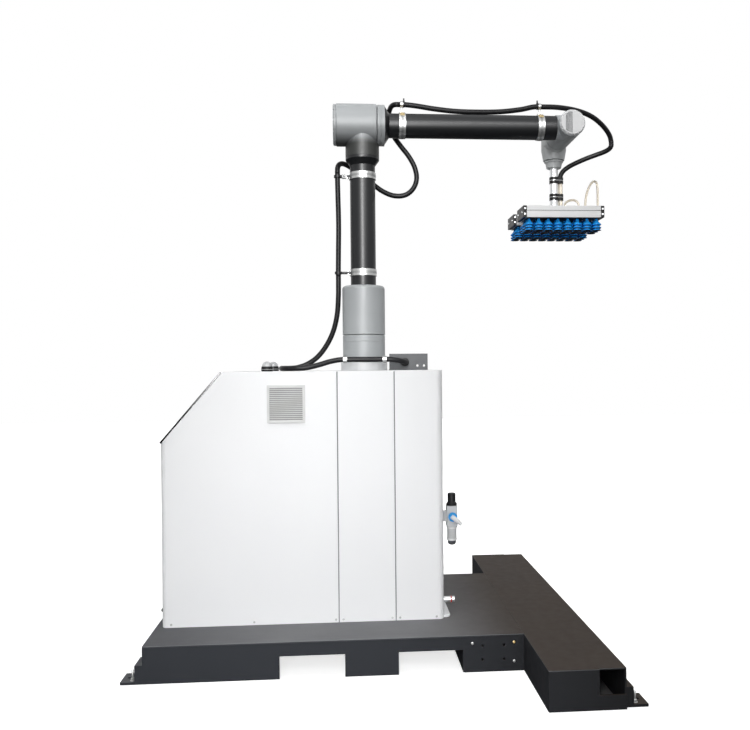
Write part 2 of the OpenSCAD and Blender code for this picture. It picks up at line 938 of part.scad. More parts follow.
// The ring of a hose clip, its axis along Z
module clip_ring(w) {
    difference() {
        cylinder(d = hose_d + 2 * (hose_gap + clip_wall), h = w, center = true);
        cylinder(d = hose_d + 2 * hose_gap, h = w + 2 * over, center = true);
    }
}

// One clip beside the base housing, held by a flat radial arm
module base_clip(x) {
    reach = norm([x, base_clip_y]);
    difference() {
        union() {
            translate([x, base_clip_y, base_clip_z])
                rotate([0, 90, 0])
                    cylinder(d = hose_d + 2 * (hose_gap + clip_wall), h = base_clip_w, center = true);
            rotate(atan2(base_clip_y, x))
                translate([0, -base_clip_w / 2, base_clip_z - clip_wall / 2])
                    cube([reach, base_clip_w, clip_wall]);
        }
        bar_x(x - reach, x + reach, base_clip_y, base_clip_z, hose_d + 2 * hose_gap);
        translate([0, 0, cabinet_top])
            cylinder(d = base_d + 2 * spigot_fit, h = pedestal_h + base_h);
    }
}

module base_clips() {
    color(light_metal)
        for (x = base_clip_x)
            base_clip(x);
}

module hose_base() {
    color(hose_black)
        swept_tube(base_route, hose_d);
}

module turret() {
    color(arm_grey)
        union() {
            translate([0, 0, base_top + run_gap])
                cylinder(d = turret_d * spigot_share, h = turn_seam);
            translate([0, 0, turret_bottom])
                rotate_extrude() {
                    square([turret_d / 2, turret_h - turret_round]);
                    square([turret_d / 2 - turret_round, turret_h]);
                    translate([turret_d / 2 - turret_round, turret_h - turret_round])
                        circle(turret_round);
                }
        }
}

module upper_tube() {
    color("#1d1e20")
        translate([0, 0, turret_top])
            cylinder(d = upper_d, h = upper_len);
}

module upper_flare() {
    color("#1d1e20")
        translate([0, 0, upper_top])
            rotate_extrude()
                polygon([
                    [0, 0], [upper_d / 2, 0], [stub_d / 2, flare_h * flare_cone], [stub_d / 2, flare_h], [0, flare_h]
                ]);
}

module elbow_housing() {
    color(arm_grey)
        union() {
            difference() {
                translate([0, 0, flare_top])
                    cylinder(d = stub_d, h = elbow_rise);
                bar_x(elbow_right, stub_d, 0, arm_z, ring_d + 2 * turn_seam);
            }
            translate([-elbow_left, 0, arm_z])
                rotate([0, 90, 0])
                    rotate_extrude() {
                        square([elbow_d / 2 - elbow_edge, elbow_left + elbow_right]);
                        translate([0, elbow_edge])
                            square([elbow_d / 2, elbow_left + elbow_right - 2 * elbow_edge]);
                        for (x = [elbow_edge, elbow_left + elbow_right - elbow_edge])
                            translate([elbow_d / 2 - elbow_edge, x])
                                circle(elbow_edge);
                    }
        }
}

// A round cap with notches in its rim, its face at the top
module notched_cap(d, t) {
    notch = d * notch_share;
    edge = t * cap_edge;
    difference() {
        rotate_extrude()
            polygon([[0, 0], [d / 2, 0], [d / 2, t - edge], [d / 2 - edge, t], [0, t]]);
        for (i = [0 : cap_notches - 1])
            rotate(360 * i / cap_notches)
                translate([d / 2 - notch / 2, -notch / 2, t / 2])
                    cube([notch, notch, t]);
    }
}

module elbow_cap() {
    color(light_metal)
        translate([-elbow_left, 0, arm_z])
            rotate([0, -90, 0])
                notched_cap(ring_d, elbow_cap_t);
}

// A screw band round a tube along Z, with a thin link to a hose clip on the +X side
module tube_clamp(tube_d, reach) {
    band_r = tube_d / 2 + spigot_fit;
    link_end = reach - hose_d / 2 - hose_gap - clip_wall / 2;
    difference() {
        union() {
            cylinder(r = band_r + clamp_t, h = clamp_w, center = true);
            translate([0, -screw_w / 2, -screw_len / 2])
                cube([band_r + screw_h, screw_w, screw_len]);
            rotate([0, 90, 0])
                cylinder(d = link_d, h = link_end);
        }
        cylinder(r = band_r, h = clamp_w + 2 * over, center = true);
    }
    translate([reach, 0, 0])
        clip_ring(clip_w);
}

module column_clamps() {
    color(light_metal)
        for (z = column_clip_z)
            translate([0, 0, z])
                rotate(180)
                    tube_clamp(upper_d, -column_clip_x);
}

module hose_column() {
    color(hose_black)
        swept_tube(column_route, hose_d);
}

module hose_elbow() {
    color(hose_black)
        swept_tube(elbow_route, hose_d);
}

module forearm_ring() {
    color(light_metal)
        translate([elbow_right, 0, arm_z])
            rotate([0, 90, 0])
                rotate_extrude()
                    polygon(concat(
                        [[0, run_gap], [ring_d / 2 * spigot_share, run_gap],
                         [ring_d / 2 * spigot_share, turn_seam], [ring_d / 2, turn_seam]],
                        [for (x = ring_grooves) each [
                            [ring_d / 2, x - ring_groove / 2], [ring_d / 2 - ring_groove, x - ring_groove / 2],
                            [ring_d / 2 - ring_groove, x + ring_groove / 2], [ring_d / 2, x + ring_groove / 2]
                        ]],
                        [[ring_d / 2, ring_len], [0, ring_len]]
                    ));
}

module forearm_flare() {
    color("#1d1e20")
        translate([ring_end, 0, arm_z])
            rotate([0, 90, 0])
                cylinder(d1 = fore_flare_d, d2 = fore_d, h = fore_flare);
}

module forearm_tube() {
    color("#1d1e20")
        difference() {
            bar_x(tube_start, tube_end, 0, arm_z, fore_d);
            bar_y(wrist_x, -wrist_front, wrist_back, arm_z, wrist_d + 2 * spigot_fit);
        }
}

module forearm_clamps() {
    color(light_metal)
        for (x = forearm_clip_x)
            translate([x, 0, arm_z])
                rotate([0, -90, 0])
                    tube_clamp(fore_d, forearm_clip_z);
}

module hose_forearm() {
    color(hose_black)
        swept_tube(forearm_route, hose_d);
}

module wrist_housing() {
    collar_d = fore_d + 2 * clamp_t;
    color(arm_grey)
        union() {
            bar_x(tube_end, wrist_x, 0, arm_z, collar_d);
            bar_y(wrist_x, -wrist_front, wrist_back, arm_z, wrist_d);
        }
}

module wrist_cap() {
    color(light_metal)
        translate([wrist_x, -wrist_front, arm_z])
            rotate([90, 0, 0])
                notched_cap(cap_d, cap_t);
}

module hose_wrist() {
    color(hose_black)
        swept_tube(wrist_route, hose_d);
}

module tool_joint() {
    seam_y = wrist_back + turn_seam;
    top = joint_down + joint_up;
    r = joint_d / 2;
    color(arm_grey)
        union() {
            bar_y(wrist_x, wrist_back + run_gap, tool_y, arm_z, wrist_d * spigot_share);
            bar_y(wrist_x, seam_y, tool_y, arm_z, wrist_d);
            translate([wrist_x, tool_y, joint_bottom])
                rotate_extrude() {
                    polygon([[0, 0], [joint_end_d / 2, 0], [r, joint_taper], [r, top - joint_edge],
                             [r - joint_edge, top - joint_edge], [r - joint_edge, top], [0, top]]);
                    translate([r - joint_edge, top - joint_edge])
                        circle(joint_edge);
                }
        }
}

module hose_tool() {
    color(hose_black)
        swept_tube(tool_route, hose_d);
}

module tool_flange() {
    top = tool_flange_h - turn_seam;
    rim = joint_end_d / 2 - flange_step;
    neck = post_d / 2 + flange_step;
    color(light_metal)
        translate([wrist_x, tool_y, flange_bottom])
            rotate_extrude()
                polygon([
                    [0, 0], [neck, 0], [neck, flange_step], [neck + 2 * flange_step, flange_step],
                    [rim - flange_step, top - 2 * flange_step], [rim, top - flange_step], [rim, top],
                    [rim * spigot_share, top], [rim * spigot_share, tool_flange_h - run_gap],
                    [0, tool_flange_h - run_gap]
                ]);
}

module gripper_post() {
    color(light_metal)
        translate([wrist_x, tool_y, post_bottom])
            cylinder(d = post_d, h = post_len);
}

// The outline round the post and the hose beside it
module strap_plan(grow) {
    hose_x = hose_post_x - wrist_x;
    circle(d = post_d + 2 * grow);
    translate([hose_x, 0])
        circle(d = hose_d + 2 * grow);
    translate([0, -hose_d / 2 - grow])
        square([hose_x, hose_d + 2 * grow]);
}

module post_straps() {
    color("#151617")
        for (z = strap_z)
            translate([wrist_x, tool_y, z - strap_h / 2])
                linear_extrude(strap_h)
                    difference() {
                        strap_plan(spigot_fit + strap_t);
                        strap_plan(spigot_fit);
                    }
}

module gripper_bridge() {
    color("#3a3c3f")
        translate([wrist_x - bridge_w / 2, tool_y - bridge_len / 2, chamber_top])
            cube([bridge_w, bridge_len, bridge_t]);
}

// The hollow section of one chamber, its middle at the origin in plan
module vacuum_chamber() {
    half = chamber_w / 2;
    difference() {
        translate([-chamber_len / 2, -half, 0])
            cube([chamber_len, chamber_w, chamber_h]);
        translate([-chamber_len / 2 - over, chamber_wall - half, chamber_wall])
            cube([chamber_len + 2 * over, chamber_w - 2 * chamber_wall, chamber_h - 2 * chamber_wall]);
        for (y = [-half, half])
            translate([-chamber_len / 2 - over, y - chamber_groove / 2, chamber_groove_z])
                cube([chamber_len + 2 * over, chamber_groove, chamber_groove]);
    }
}

// The places of the two chambers
module at_chambers() {
    for (y = [-chamber_offset, chamber_offset])
        translate([wrist_x, tool_y + y, chamber_bottom])
            children();
}

module vacuum_chambers() {
    color("#dfe1e1")
        at_chambers()
            vacuum_chamber();
}

module chamber_ends() {
    color("#17181a")
        at_chambers()
            for (x = [-chamber_len / 2 - end_plate, chamber_len / 2])
                translate([x, -chamber_w / 2, 0])
                    cube([end_plate, chamber_w, chamber_h]);
}

// One bellows cup hanging below the origin
module suction_cup() {
    r = cup_d / 2;
    neck = cup_h * cup_neck;
    fold = (cup_h - neck) / (cup_folds + lip_fold);
    waist = r * cup_waist;
    rotate_extrude($fn = 48)
        polygon(concat(
            [[0, 0], [r * cup_top, 0], [r * cup_top, -neck]],
            [for (i = [0 : cup_folds - 1]) each [
                [waist, -neck - i * fold],
                [r, -neck - (i + fold_start) * fold],
                [r, -neck - (i + fold_end) * fold],
                [waist, -neck - (i + fold_close) * fold]
            ]],
            [[waist, -neck - cup_folds * fold], [r, -cup_h], [0, -cup_h]]
        ));
}

module suction_cups() {
    color("#2b5fa8")
        for (y = [-chamber_offset, chamber_offset], i = [0 : cups_x - 1], j = [0 : cups_y - 1])
            translate([
                wrist_x + (i - (cups_x - 1) / 2) * cup_pitch,
                tool_y + y + (j - (cups_y - 1) / 2) * cup_pitch,
                chamber_bottom
            ])
                suction_cup();
}

module vacuum_tubes() {
    color("#cfd6d8") {
        swept_tube(drop_tube_route, drop_tube_d);
        swept_tube(low_tube_route, vacuum_d);
        swept_tube(tall_tube_route, vacuum_d);
    }
}

deck_plate();
front_skirt();
back_skirt();
left_skirt();
middle_skid();
cross_wall();
crossbar_shell();
crossbar_ends();
anchor_feet();
cabinet_frame();
front_panel_left();
front_panel_middle();
front_panel_right();
back_panels();
left_end_panel();
right_end_panel();
slope_panel();
top_panel();
foot_flange();
operator_panel();
vent_grille();
lamp_bases();
lamp_domes();
hose_bracket();
hose_fitting();
regulator_body();
regulator_knob();
regulator_bowl();
regulator_valve();
air_inlet();
pedestal_flange();
base_housing();
base_clips();
hose_base();
turret();
upper_tube();
upper_flare();
elbow_housing();
elbow_cap();
column_clamps();
hose_column();
hose_elbow();
forearm_ring();
forearm_flare();
forearm_tube();
forearm_clamps();
wrist_housing();
wrist_cap();
hose_forearm();
hose_wrist();
tool_joint();
hose_tool();
tool_flange();
gripper_post();
post_straps();
gripper_bridge();
vacuum_chambers();
chamber_ends();
suction_cups();
vacuum_tubes();
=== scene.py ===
# %% [markdown]
# # A palletising robot arm, dressed in Blender
# The imported CAD model is the skeleton of this scene: every solid is already in its place, in metres,
# with the floor at height zero. This lesson gives each solid its finish and adds what solids can't show
# well, such as round hoses, screws, ties and the folds of the suction cups. The first step loads the
# frame.

# %% Load the frame
import json
import math

import bmesh
import bpy
from mathutils import Matrix, Vector


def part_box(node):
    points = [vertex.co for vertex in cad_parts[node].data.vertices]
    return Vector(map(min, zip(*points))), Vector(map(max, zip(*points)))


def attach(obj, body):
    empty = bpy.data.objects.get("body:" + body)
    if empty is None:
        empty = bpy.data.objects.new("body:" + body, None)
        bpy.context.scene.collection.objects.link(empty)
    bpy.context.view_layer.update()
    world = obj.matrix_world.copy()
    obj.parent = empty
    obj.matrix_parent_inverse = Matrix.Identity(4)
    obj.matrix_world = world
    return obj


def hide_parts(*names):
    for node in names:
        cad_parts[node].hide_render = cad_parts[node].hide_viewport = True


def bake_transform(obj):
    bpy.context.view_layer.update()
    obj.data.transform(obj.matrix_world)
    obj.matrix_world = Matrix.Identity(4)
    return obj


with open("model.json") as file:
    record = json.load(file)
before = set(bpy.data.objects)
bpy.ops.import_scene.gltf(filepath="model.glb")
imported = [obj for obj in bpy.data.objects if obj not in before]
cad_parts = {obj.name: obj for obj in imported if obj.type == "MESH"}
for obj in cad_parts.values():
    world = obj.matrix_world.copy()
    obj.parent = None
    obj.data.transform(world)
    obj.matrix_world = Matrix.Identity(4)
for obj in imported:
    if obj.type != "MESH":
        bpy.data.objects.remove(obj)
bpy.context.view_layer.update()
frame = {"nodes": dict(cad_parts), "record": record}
nodes = frame["nodes"]
scene = bpy.context.scene
MM = 0.001


# %% [markdown]
# ## The camera
# The photographer stood in front of the cabinet, a little left of the column, at about the height of
# the cabinet's top. The lens is slightly wider than normal. Vertical edges stay vertical, so the
# picture is shifted and not tilted. Roll, pitch and yaw are small, and they are built from plain vectors
# here, because a matrix of three axes shows where the camera looks more clearly than angles do.

# %% Set the camera
eye = Vector((-0.0741, -3.4791, 1.1640))
yaw, pitch, roll = 0.07697, 0.00689, 0.00865
ahead = Vector((math.sin(yaw) * math.cos(pitch), math.cos(yaw) * math.cos(pitch), -math.sin(pitch)))
level_right = Vector((math.cos(yaw), -math.sin(yaw), 0))
level_down = ahead.cross(level_right)
right = math.cos(roll) * level_right + math.sin(roll) * level_down
down = math.cos(roll) * level_down - math.sin(roll) * level_right

lens = bpy.data.cameras.new("photo_camera")
lens.sensor_fit = "HORIZONTAL"
lens.sensor_width = 36
lens.lens = 38.82
lens.shift_x = -0.0458
lens.shift_y = 0.0079
camera = bpy.data.objects.new("photo_camera", lens)
camera.matrix_world = Matrix.Translation(eye) @ Matrix((right, -down, -ahead)).transposed().to_4x4()
scene.collection.objects.link(camera)
scene.camera = camera
print("camera at", tuple(round(v, 3) for v in eye))


# %% [markdown]
# ## Sums on sockets
# Materials and Geometry Nodes are both trees of nodes, and a long tree is hard to read when every link
# is a line of its own. This class wraps one output socket, so that a sum such as `1 - mask` adds the
# right Math node by itself. Its `node` method adds any other kind of node: the settings come first,
# since some of them change which sockets a node has, and then the sockets' values or links.

# %% A socket that takes part in sums
class Wire:
    """One output socket of a node, which Python sums can use."""

    def __init__(self, tree, socket):
        self.tree = tree
        self.socket = socket

    def node(self, kind, settings=None, sockets=None, out=0):
        made = self.tree.nodes.new(kind)
        for name, value in (settings or {}).items():
            setattr(made, name, value)
        feed(made, sockets or {})
        return Wire(self.tree, made.outputs[out])

    def math(self, operation, first, second):
        return self.node("ShaderNodeMath", {"operation": operation}, {0: first, 1: second})

    def __add__(self, other):
        return self.math("ADD", self, other)

    def __radd__(self, other):
        return self.math("ADD", other, self)

    def __sub__(self, other):
        return self.math("SUBTRACT", self, other)

    def __rsub__(self, other):
        return self.math("SUBTRACT", other, self)

    def __mul__(self, other):
        return self.math("MULTIPLY", self, other)

    def __rmul__(self, other):
        return self.math("MULTIPLY", other, self)

    def __pow__(self, other):
        return self.math("POWER", self, other)

    def __gt__(self, other):
        return self.math("GREATER_THAN", self, other)


def feed(node, sockets):
    """Sets each socket of a node, or links it where its value is a wire."""
    for key, value in sockets.items():
        if isinstance(value, Wire):
            value.tree.links.new(value.socket, node.inputs[key])
        else:
            node.inputs[key].default_value = value


print("socket sums ready")


# %% Nodes that the finishes share
finishes = {}


def noise(place, scale, detail=2.0):
    """Soft random values from 0 to 1, where scale counts the lumps in a metre."""
    return place.node("ShaderNodeTexNoise", None, {"Vector": place, "Scale": scale, "Detail": detail})


def tint(factor, first, second):
    """A colour between two others, each of them three numbers or a wire."""
    ends = [colour if isinstance(colour, Wire) else (*colour, 1.0) for colour in (first, second)]
    return factor.node("ShaderNodeMix", {"data_type": "RGBA"}, {0: factor, 6: ends[0], 7: ends[1]}, out=2)


def axis(place, index):
    """One number of a vector, where 0, 1 and 2 are X, Y and Z."""
    return place.node("ShaderNodeSeparateXYZ", None, {0: place}, out=index)


def ramp(value, low, high, start, end, kind="LINEAR"):
    """Goes from start to end while the value goes from low to high."""
    sockets = {"Value": value, "From Min": low, "From Max": high, "To Min": start, "To Max": end}
    return value.node("ShaderNodeMapRange", {"interpolation_type": kind}, sockets)


def stretched(place, scales):
    """The same place with its axes scaled, for a pattern that runs one way."""
    return place.node("ShaderNodeMapping", None, {"Vector": place, "Scale": scales})


def bump(height, strength, distance):
    return height.node(
        "ShaderNodeBump", None, {"Height": height, "Strength": strength, "Distance": distance}
    )


def finish(name, recipe):
    """A material whose recipe returns the sockets of its shader."""
    material = bpy.data.materials.new(name)
    material.use_nodes = True
    tree = material.node_tree
    shader = tree.nodes["Principled BSDF"]
    place = Wire(tree, tree.nodes.new("ShaderNodeTexCoord").outputs["Object"])
    feed(shader, recipe(place))
    finishes[name] = material
    return material


print("shared nodes ready")


# %% [markdown]
# ## Painted steel
# The base is folded steel with a black powder coat, which has a fine orange-peel skin. Its upper sides
# carry a dusty brown on the crossbar and, round the cabinet, a pale grey that is a painted reflection of
# the white cabinet; the upright sides show neither, so the recipe looks at which way the surface faces. A
# painted highlight runs as a light line along the deck's upper edge, fading to the right. The cabinet is
# the same kind of sheet in white, smoother, with hardly any variation.

# %% Coats of the base and the cabinet
FACES_UP = 0.6
DECK_RIM = 0.137


def black_coat(place):
    """Black that is darkest at the right, with a painted highlight along its upper edge, a dusty brown on the
    crossbar's top and a painted reflection of the cabinet on the tops near it.
    """
    facing = place.node("ShaderNodeNewGeometry", None, None, out=1)
    on_top = axis(facing, 2) > FACES_UP
    across = axis(place, 0)
    cloud = noise(place, 4.0, 4.0)
    to_right = ramp(across, 0.1, 0.9, 0.0, 0.85)
    coat = tint(to_right + 0.15 * cloud, (0.038, 0.041, 0.048), (0.017, 0.017, 0.018))
    # Painted highlight: a light line along the top of the upright sides, fading to the right.
    edge_highlight = (axis(place, 2) > DECK_RIM) * (1 - on_top) * (1 - to_right) * (0.5 + 0.5 * cloud)
    coat = tint(edge_highlight, coat, (0.26, 0.265, 0.275))
    # On the upward faces near the cabinet a pale grey is a painted reflection of the white cabinet; on the
    # crossbar the same mask gives a dusty brown.
    pale = ramp(across, 0.15, 0.62, 1.0, 0.0, "SMOOTHSTEP")
    dust_and_reflection_colour = tint(pale, (0.046, 0.033, 0.024), (0.23, 0.232, 0.24))
    dust_and_reflection = on_top * ramp(across, -0.9, -0.3, 0.45, 1.0) * (0.6 + 0.4 * cloud)
    return {
        "Base Color": tint(dust_and_reflection * 0.9, coat, dust_and_reflection_colour),
        "Roughness": 0.50 + 0.16 * noise(place, 30.0, 4.0),
        "Specular IOR Level": 0.06,
        "Normal": bump(noise(place, 900.0, 3.0), 0.18, 0.0004),
    }


def white_coat(place):
    cloud = noise(place, 3.0, 3.0)
    peel = noise(place, 500.0, 2.0)
    return {
        "Base Color": tint(cloud, (0.775, 0.785, 0.80), (0.815, 0.82, 0.83)),
        "Roughness": 0.30 + 0.12 * noise(place, 18.0, 3.0),
        "Specular IOR Level": 0.4,
        "Normal": bump(peel, 0.08, 0.0003),
    }


base_black = finish("base_black", black_coat)
cabinet_white = finish("cabinet_white", white_coat)
print("coats", base_black.name, cabinet_white.name)


# %% [markdown]
# ## Metals of the arm
# The joint housings wear a silver paint with tiny flakes, lighter on the small joint above the gripper.
# The neck below the elbow is darkened as painted shade, the shadow under the elbow's drum. The two long
# tubes are dark anodised aluminium, whose skin is finely drawn along the tube. The gripper's post and the
# air inlet are bare metal, and the hose clamps are steel bands: there the roughness varies too, because
# bare metal shows its wear mostly in its reflections.

# %% Metal finishes
def silver_paint(place, dark=(0.38, 0.40, 0.41), pale=(0.46, 0.48, 0.49)):
    flake = place.node("ShaderNodeTexVoronoi", None, {"Vector": place, "Scale": 1600.0}, out=1)
    glint = flake.node("ShaderNodeSeparateColor", None, {0: flake})
    return {
        "Base Color": tint(0.5 * glint + 0.5 * noise(place, 6.0), dark, pale),
        "Metallic": 0.02,
        "Roughness": 0.44 + 0.10 * noise(place, 40.0, 3.0),
        "Specular IOR Level": 0.42,
        "Normal": bump(noise(place, 1200.0), 0.05, 0.0002),
    }


def joint_paint(place):
    """The lighter silver of the small joint above the gripper."""
    return silver_paint(place, (0.56, 0.58, 0.585), (0.66, 0.68, 0.685))


NECK_TOP, DRUM_FOOT = 2.10, 2.15


def elbow_paint_painted_shade(place):
    """Silver paint with painted shade on the neck below the elbow's drum."""
    sockets = silver_paint(place)
    # Painted shade: the neck below the drum is darkened almost to black, as the shadow under the drum.
    drum = ramp(axis(place, 2), NECK_TOP, DRUM_FOOT, 0.0, 1.0, "SMOOTHSTEP")
    sockets["Base Color"] = tint(drum, (0.024, 0.026, 0.024), sockets["Base Color"])
    return sockets


def dark_anodised(place):
    drawn = noise(stretched(place, (60.0, 900.0, 60.0)), 1.0, 3.0)
    return {
        "Base Color": tint(noise(place, 9.0, 4.0), (0.007, 0.008, 0.0095), (0.010, 0.011, 0.013)),
        "Roughness": 0.36 + 0.06 * drawn,
        "Specular IOR Level": 0.33,
        "Normal": bump(drawn, 0.05, 0.0003),
    }


def bare_metal(place):
    cloud = noise(place, 45.0, 4.0)
    return {
        "Base Color": tint(cloud, (0.66, 0.67, 0.68), (0.76, 0.77, 0.775)),
        "Metallic": 0.85,
        "Roughness": 0.22 + 0.16 * cloud,
        "Normal": bump(noise(place, 1500.0), 0.03, 0.0002),
    }


def band_steel(place):
    cloud = noise(place, 90.0, 4.0)
    return {
        "Base Color": tint(cloud, (0.36, 0.365, 0.36), (0.56, 0.565, 0.56)),
        "Metallic": 0.9,
        "Roughness": 0.24 + 0.2 * cloud,
        "Normal": bump(cloud, 0.05, 0.0004),
    }


def yellow_zinc(place):
    cloud = noise(place, 120.0, 3.0)
    return {
        "Base Color": tint(cloud, (0.55, 0.40, 0.17), (0.68, 0.56, 0.33)),
        "Metallic": 0.85,
        "Roughness": 0.3 + 0.15 * cloud,
    }


arm_grey = finish("arm_grey", silver_paint)
elbow_grey_painted_shade = finish("elbow_grey_painted_shade", elbow_paint_painted_shade)
joint_grey = finish("joint_grey", joint_paint)
tube_black = finish("tube_black", dark_anodised)
bright_metal = finish("bright_metal", bare_metal)
clamp_metal = finish("clamp_metal", band_steel)
screw_brass = finish("screw_brass", yellow_zinc)
print("metals", arm_grey.name, tube_black.name, bright_metal.name)


# %% [markdown]
# ## Plastics and rubber
# Moulded plastic has a fine grain, and the operator panel is a smooth glossy sheet with faint smudges.
# The hose is black rubber with a soft sheen, and the cups are a bright blue soft plastic that is a little
# paler where it has been handled, with painted shade on the undersides of the lips. The vacuum chambers
# are pale and finely drawn along their length, and the thin tubes let some light through.

# %% Moulded plastics
def moulded(dark, pale, rough, shine=0.4):
    """The recipe of a moulded plastic between two colours."""
    def recipe(place):
        return {
            "Base Color": tint(noise(place, 25.0, 3.0), dark, pale),
            "Roughness": rough + 0.12 * noise(place, 60.0, 3.0),
            "Specular IOR Level": shine,
            "Normal": bump(noise(place, 900.0), 0.08, 0.0003),
        }

    return recipe


finish("grille_grey", moulded((0.58, 0.585, 0.58), (0.64, 0.645, 0.64), 0.38))
black_plastic = finish("black_plastic", moulded((0.007, 0.007, 0.008), (0.012, 0.012, 0.013), 0.36, 0.2))
bracket_grey = finish("bracket_grey", moulded((0.048, 0.052, 0.058), (0.064, 0.069, 0.076), 0.42))
unit_grey = finish("unit_grey", moulded((0.50, 0.51, 0.52), (0.62, 0.63, 0.635), 0.30))
valve_blue = finish("valve_blue", moulded((0.004, 0.24, 0.62), (0.008, 0.32, 0.74), 0.30))
white_plastic = finish("white_plastic", moulded((0.74, 0.75, 0.75), (0.82, 0.82, 0.82), 0.30))
slot_grey = finish("slot_grey", moulded((0.24, 0.24, 0.24), (0.30, 0.30, 0.30), 0.5))
cap_grey = finish("cap_grey", moulded((0.74, 0.745, 0.75), (0.82, 0.825, 0.83), 0.32))
ring_red = finish("ring_red", moulded((0.45, 0.03, 0.025), (0.55, 0.05, 0.04), 0.34))
print("finishes so far", len(finishes))


# %% Gloss, rubber and clear plastic
def panel_gloss(place):
    smudge = noise(place, 14.0, 5.0)
    return {
        "Base Color": tint(smudge, (0.007, 0.007, 0.008), (0.011, 0.011, 0.012)),
        "Roughness": 0.14 + 0.14 * smudge,
    }


def hose_rubber(place):
    rubbed = noise(place, 55.0, 4.0)
    return {
        "Base Color": tint(rubbed, (0.010, 0.010, 0.011), (0.017, 0.017, 0.019)),
        "Roughness": 0.32 + 0.16 * rubbed,
        "Specular IOR Level": 0.14,
        "Normal": bump(noise(place, 700.0), 0.1, 0.0003),
    }


FACES_DOWN = -0.45
CUP_LIP = 1.785


def cup_rubber(place):
    """Blue, with painted shade on the undersides of the lips."""
    rubbed = noise(place, 70.0, 4.0)
    facing = place.node("ShaderNodeTexCoord", None, None, out=1)
    # Painted shade: faces that turn down below the lip's height are near black, as the shade under the cups.
    outside = axis(facing, 2) > FACES_DOWN
    out_of_painted_shade = outside.math("MAXIMUM", outside, axis(place, 2) > CUP_LIP)
    blue = tint(rubbed, (0.005, 0.30, 0.90), (0.010, 0.38, 0.98))
    return {
        "Base Color": tint(out_of_painted_shade, (0.006, 0.013, 0.019), blue),
        "Roughness": 0.36 + 0.16 * rubbed,
        "Specular IOR Level": 0.25,
        "Normal": bump(noise(place, 800.0), 0.06, 0.0003),
    }


def chamber_paint(place):
    drawn = noise(stretched(place, (20.0, 700.0, 700.0)), 1.0, 3.0)
    return {
        "Base Color": tint(drawn, (0.89, 0.895, 0.90), (0.94, 0.943, 0.945)),
        "Roughness": 0.30 + 0.14 * drawn,
    }


def clear_tube(place):
    cloud = noise(place, 60.0, 3.0)
    return {
        "Base Color": tint(cloud, (0.74, 0.66, 0.52), (0.86, 0.80, 0.70)),
        "Roughness": 0.2 + 0.1 * cloud,
        "Transmission Weight": 0.35,
        "IOR": 1.46,
    }


panel_black = finish("panel_black", panel_gloss)
hose_black = finish("hose_black", hose_rubber)
cup_blue = finish("cup_blue", cup_rubber)
finish("chamber_white", chamber_paint)
tube_clear = finish("tube_clear", clear_tube)
print("finishes", len(finishes))


# %% [markdown]
# ## The hose
# One rubber hose carries the vacuum from the cabinet to the gripper. It crosses four joints, so it is
# made in six lengths: those between clips ride on one body, and those that cross a joint are left on no
# body. Each length follows a smooth curve through the route's points, with no corner where two lengths
# meet, and a ring of points is carried along that curve so that it never twists.

# %% Smooth routes and round tubes
def smooth_route(points, step=0.006):
    """Points about a step apart on a smooth curve through the given points."""
    knots = [Vector(p) * MM for p in points]
    knots = [2 * knots[0] - knots[1], *knots, 2 * knots[-1] - knots[-2]]
    path = [knots[1]]
    for a, b, c, d in zip(knots, knots[1:], knots[2:], knots[3:]):
        pieces = max(2, round((c - b).length / step))
        reach = (c - b).length
        leave = (c - a).normalized() * reach
        arrive = (d - b).normalized() * reach
        for i in range(1, pieces + 1):
            t = i / pieces
            path.append(
                (2 * t**3 - 3 * t**2 + 1) * b + (t**3 - 2 * t**2 + t) * leave
                + (3 * t**2 - 2 * t**3) * c + (t**3 - t**2) * arrive
            )
    return path


def route_length(path):
    return sum((b - a).length for a, b in zip(path, path[1:]))


def walls(shape, rings, ends=True, closed=False):
    """Faces from each ring of points to the next, with both ends where they are asked for."""
    made = []
    for near, far in zip(rings, rings[1:] + rings[:1] if closed else rings[1:]):
        for k, corner in enumerate(near):
            after = (k + 1) % len(near)
            made.append(shape.faces.new((corner, near[after], far[after], far[k])))
    if ends:
        shape.faces.new(rings[-1])
        shape.faces.new(rings[0][::-1])
    return made


def piece_from(name, shape, *materials):
    """An object at the origin from a finished bmesh."""
    mesh = bpy.data.meshes.new(name)
    bmesh.ops.recalc_face_normals(shape, faces=shape.faces[:])
    shape.to_mesh(mesh)
    shape.free()
    for material in materials:
        mesh.materials.append(material)
    piece = bpy.data.objects.new(name, mesh)
    scene.collection.objects.link(piece)
    return piece


def round_tube(name, path, diameter, material, sides=18):
    """A closed round tube along a path."""
    shape = bmesh.new()
    rings = []
    turns = [2 * math.pi * k / sides for k in range(sides)]
    side = (path[1] - path[0]).normalized().orthogonal()
    for i, point in enumerate(path):
        along = (path[min(i + 1, len(path) - 1)] - path[max(i - 1, 0)]).normalized()
        side = (side - along * side.dot(along)).normalized()
        other = along.cross(side)
        spokes = [math.cos(t) * side + math.sin(t) * other for t in turns]
        rings.append([shape.verts.new(point + diameter / 2 * spoke) for spoke in spokes])
    for wall in walls(shape, rings):
        wall.smooth = True
    return piece_from(name, shape, material)


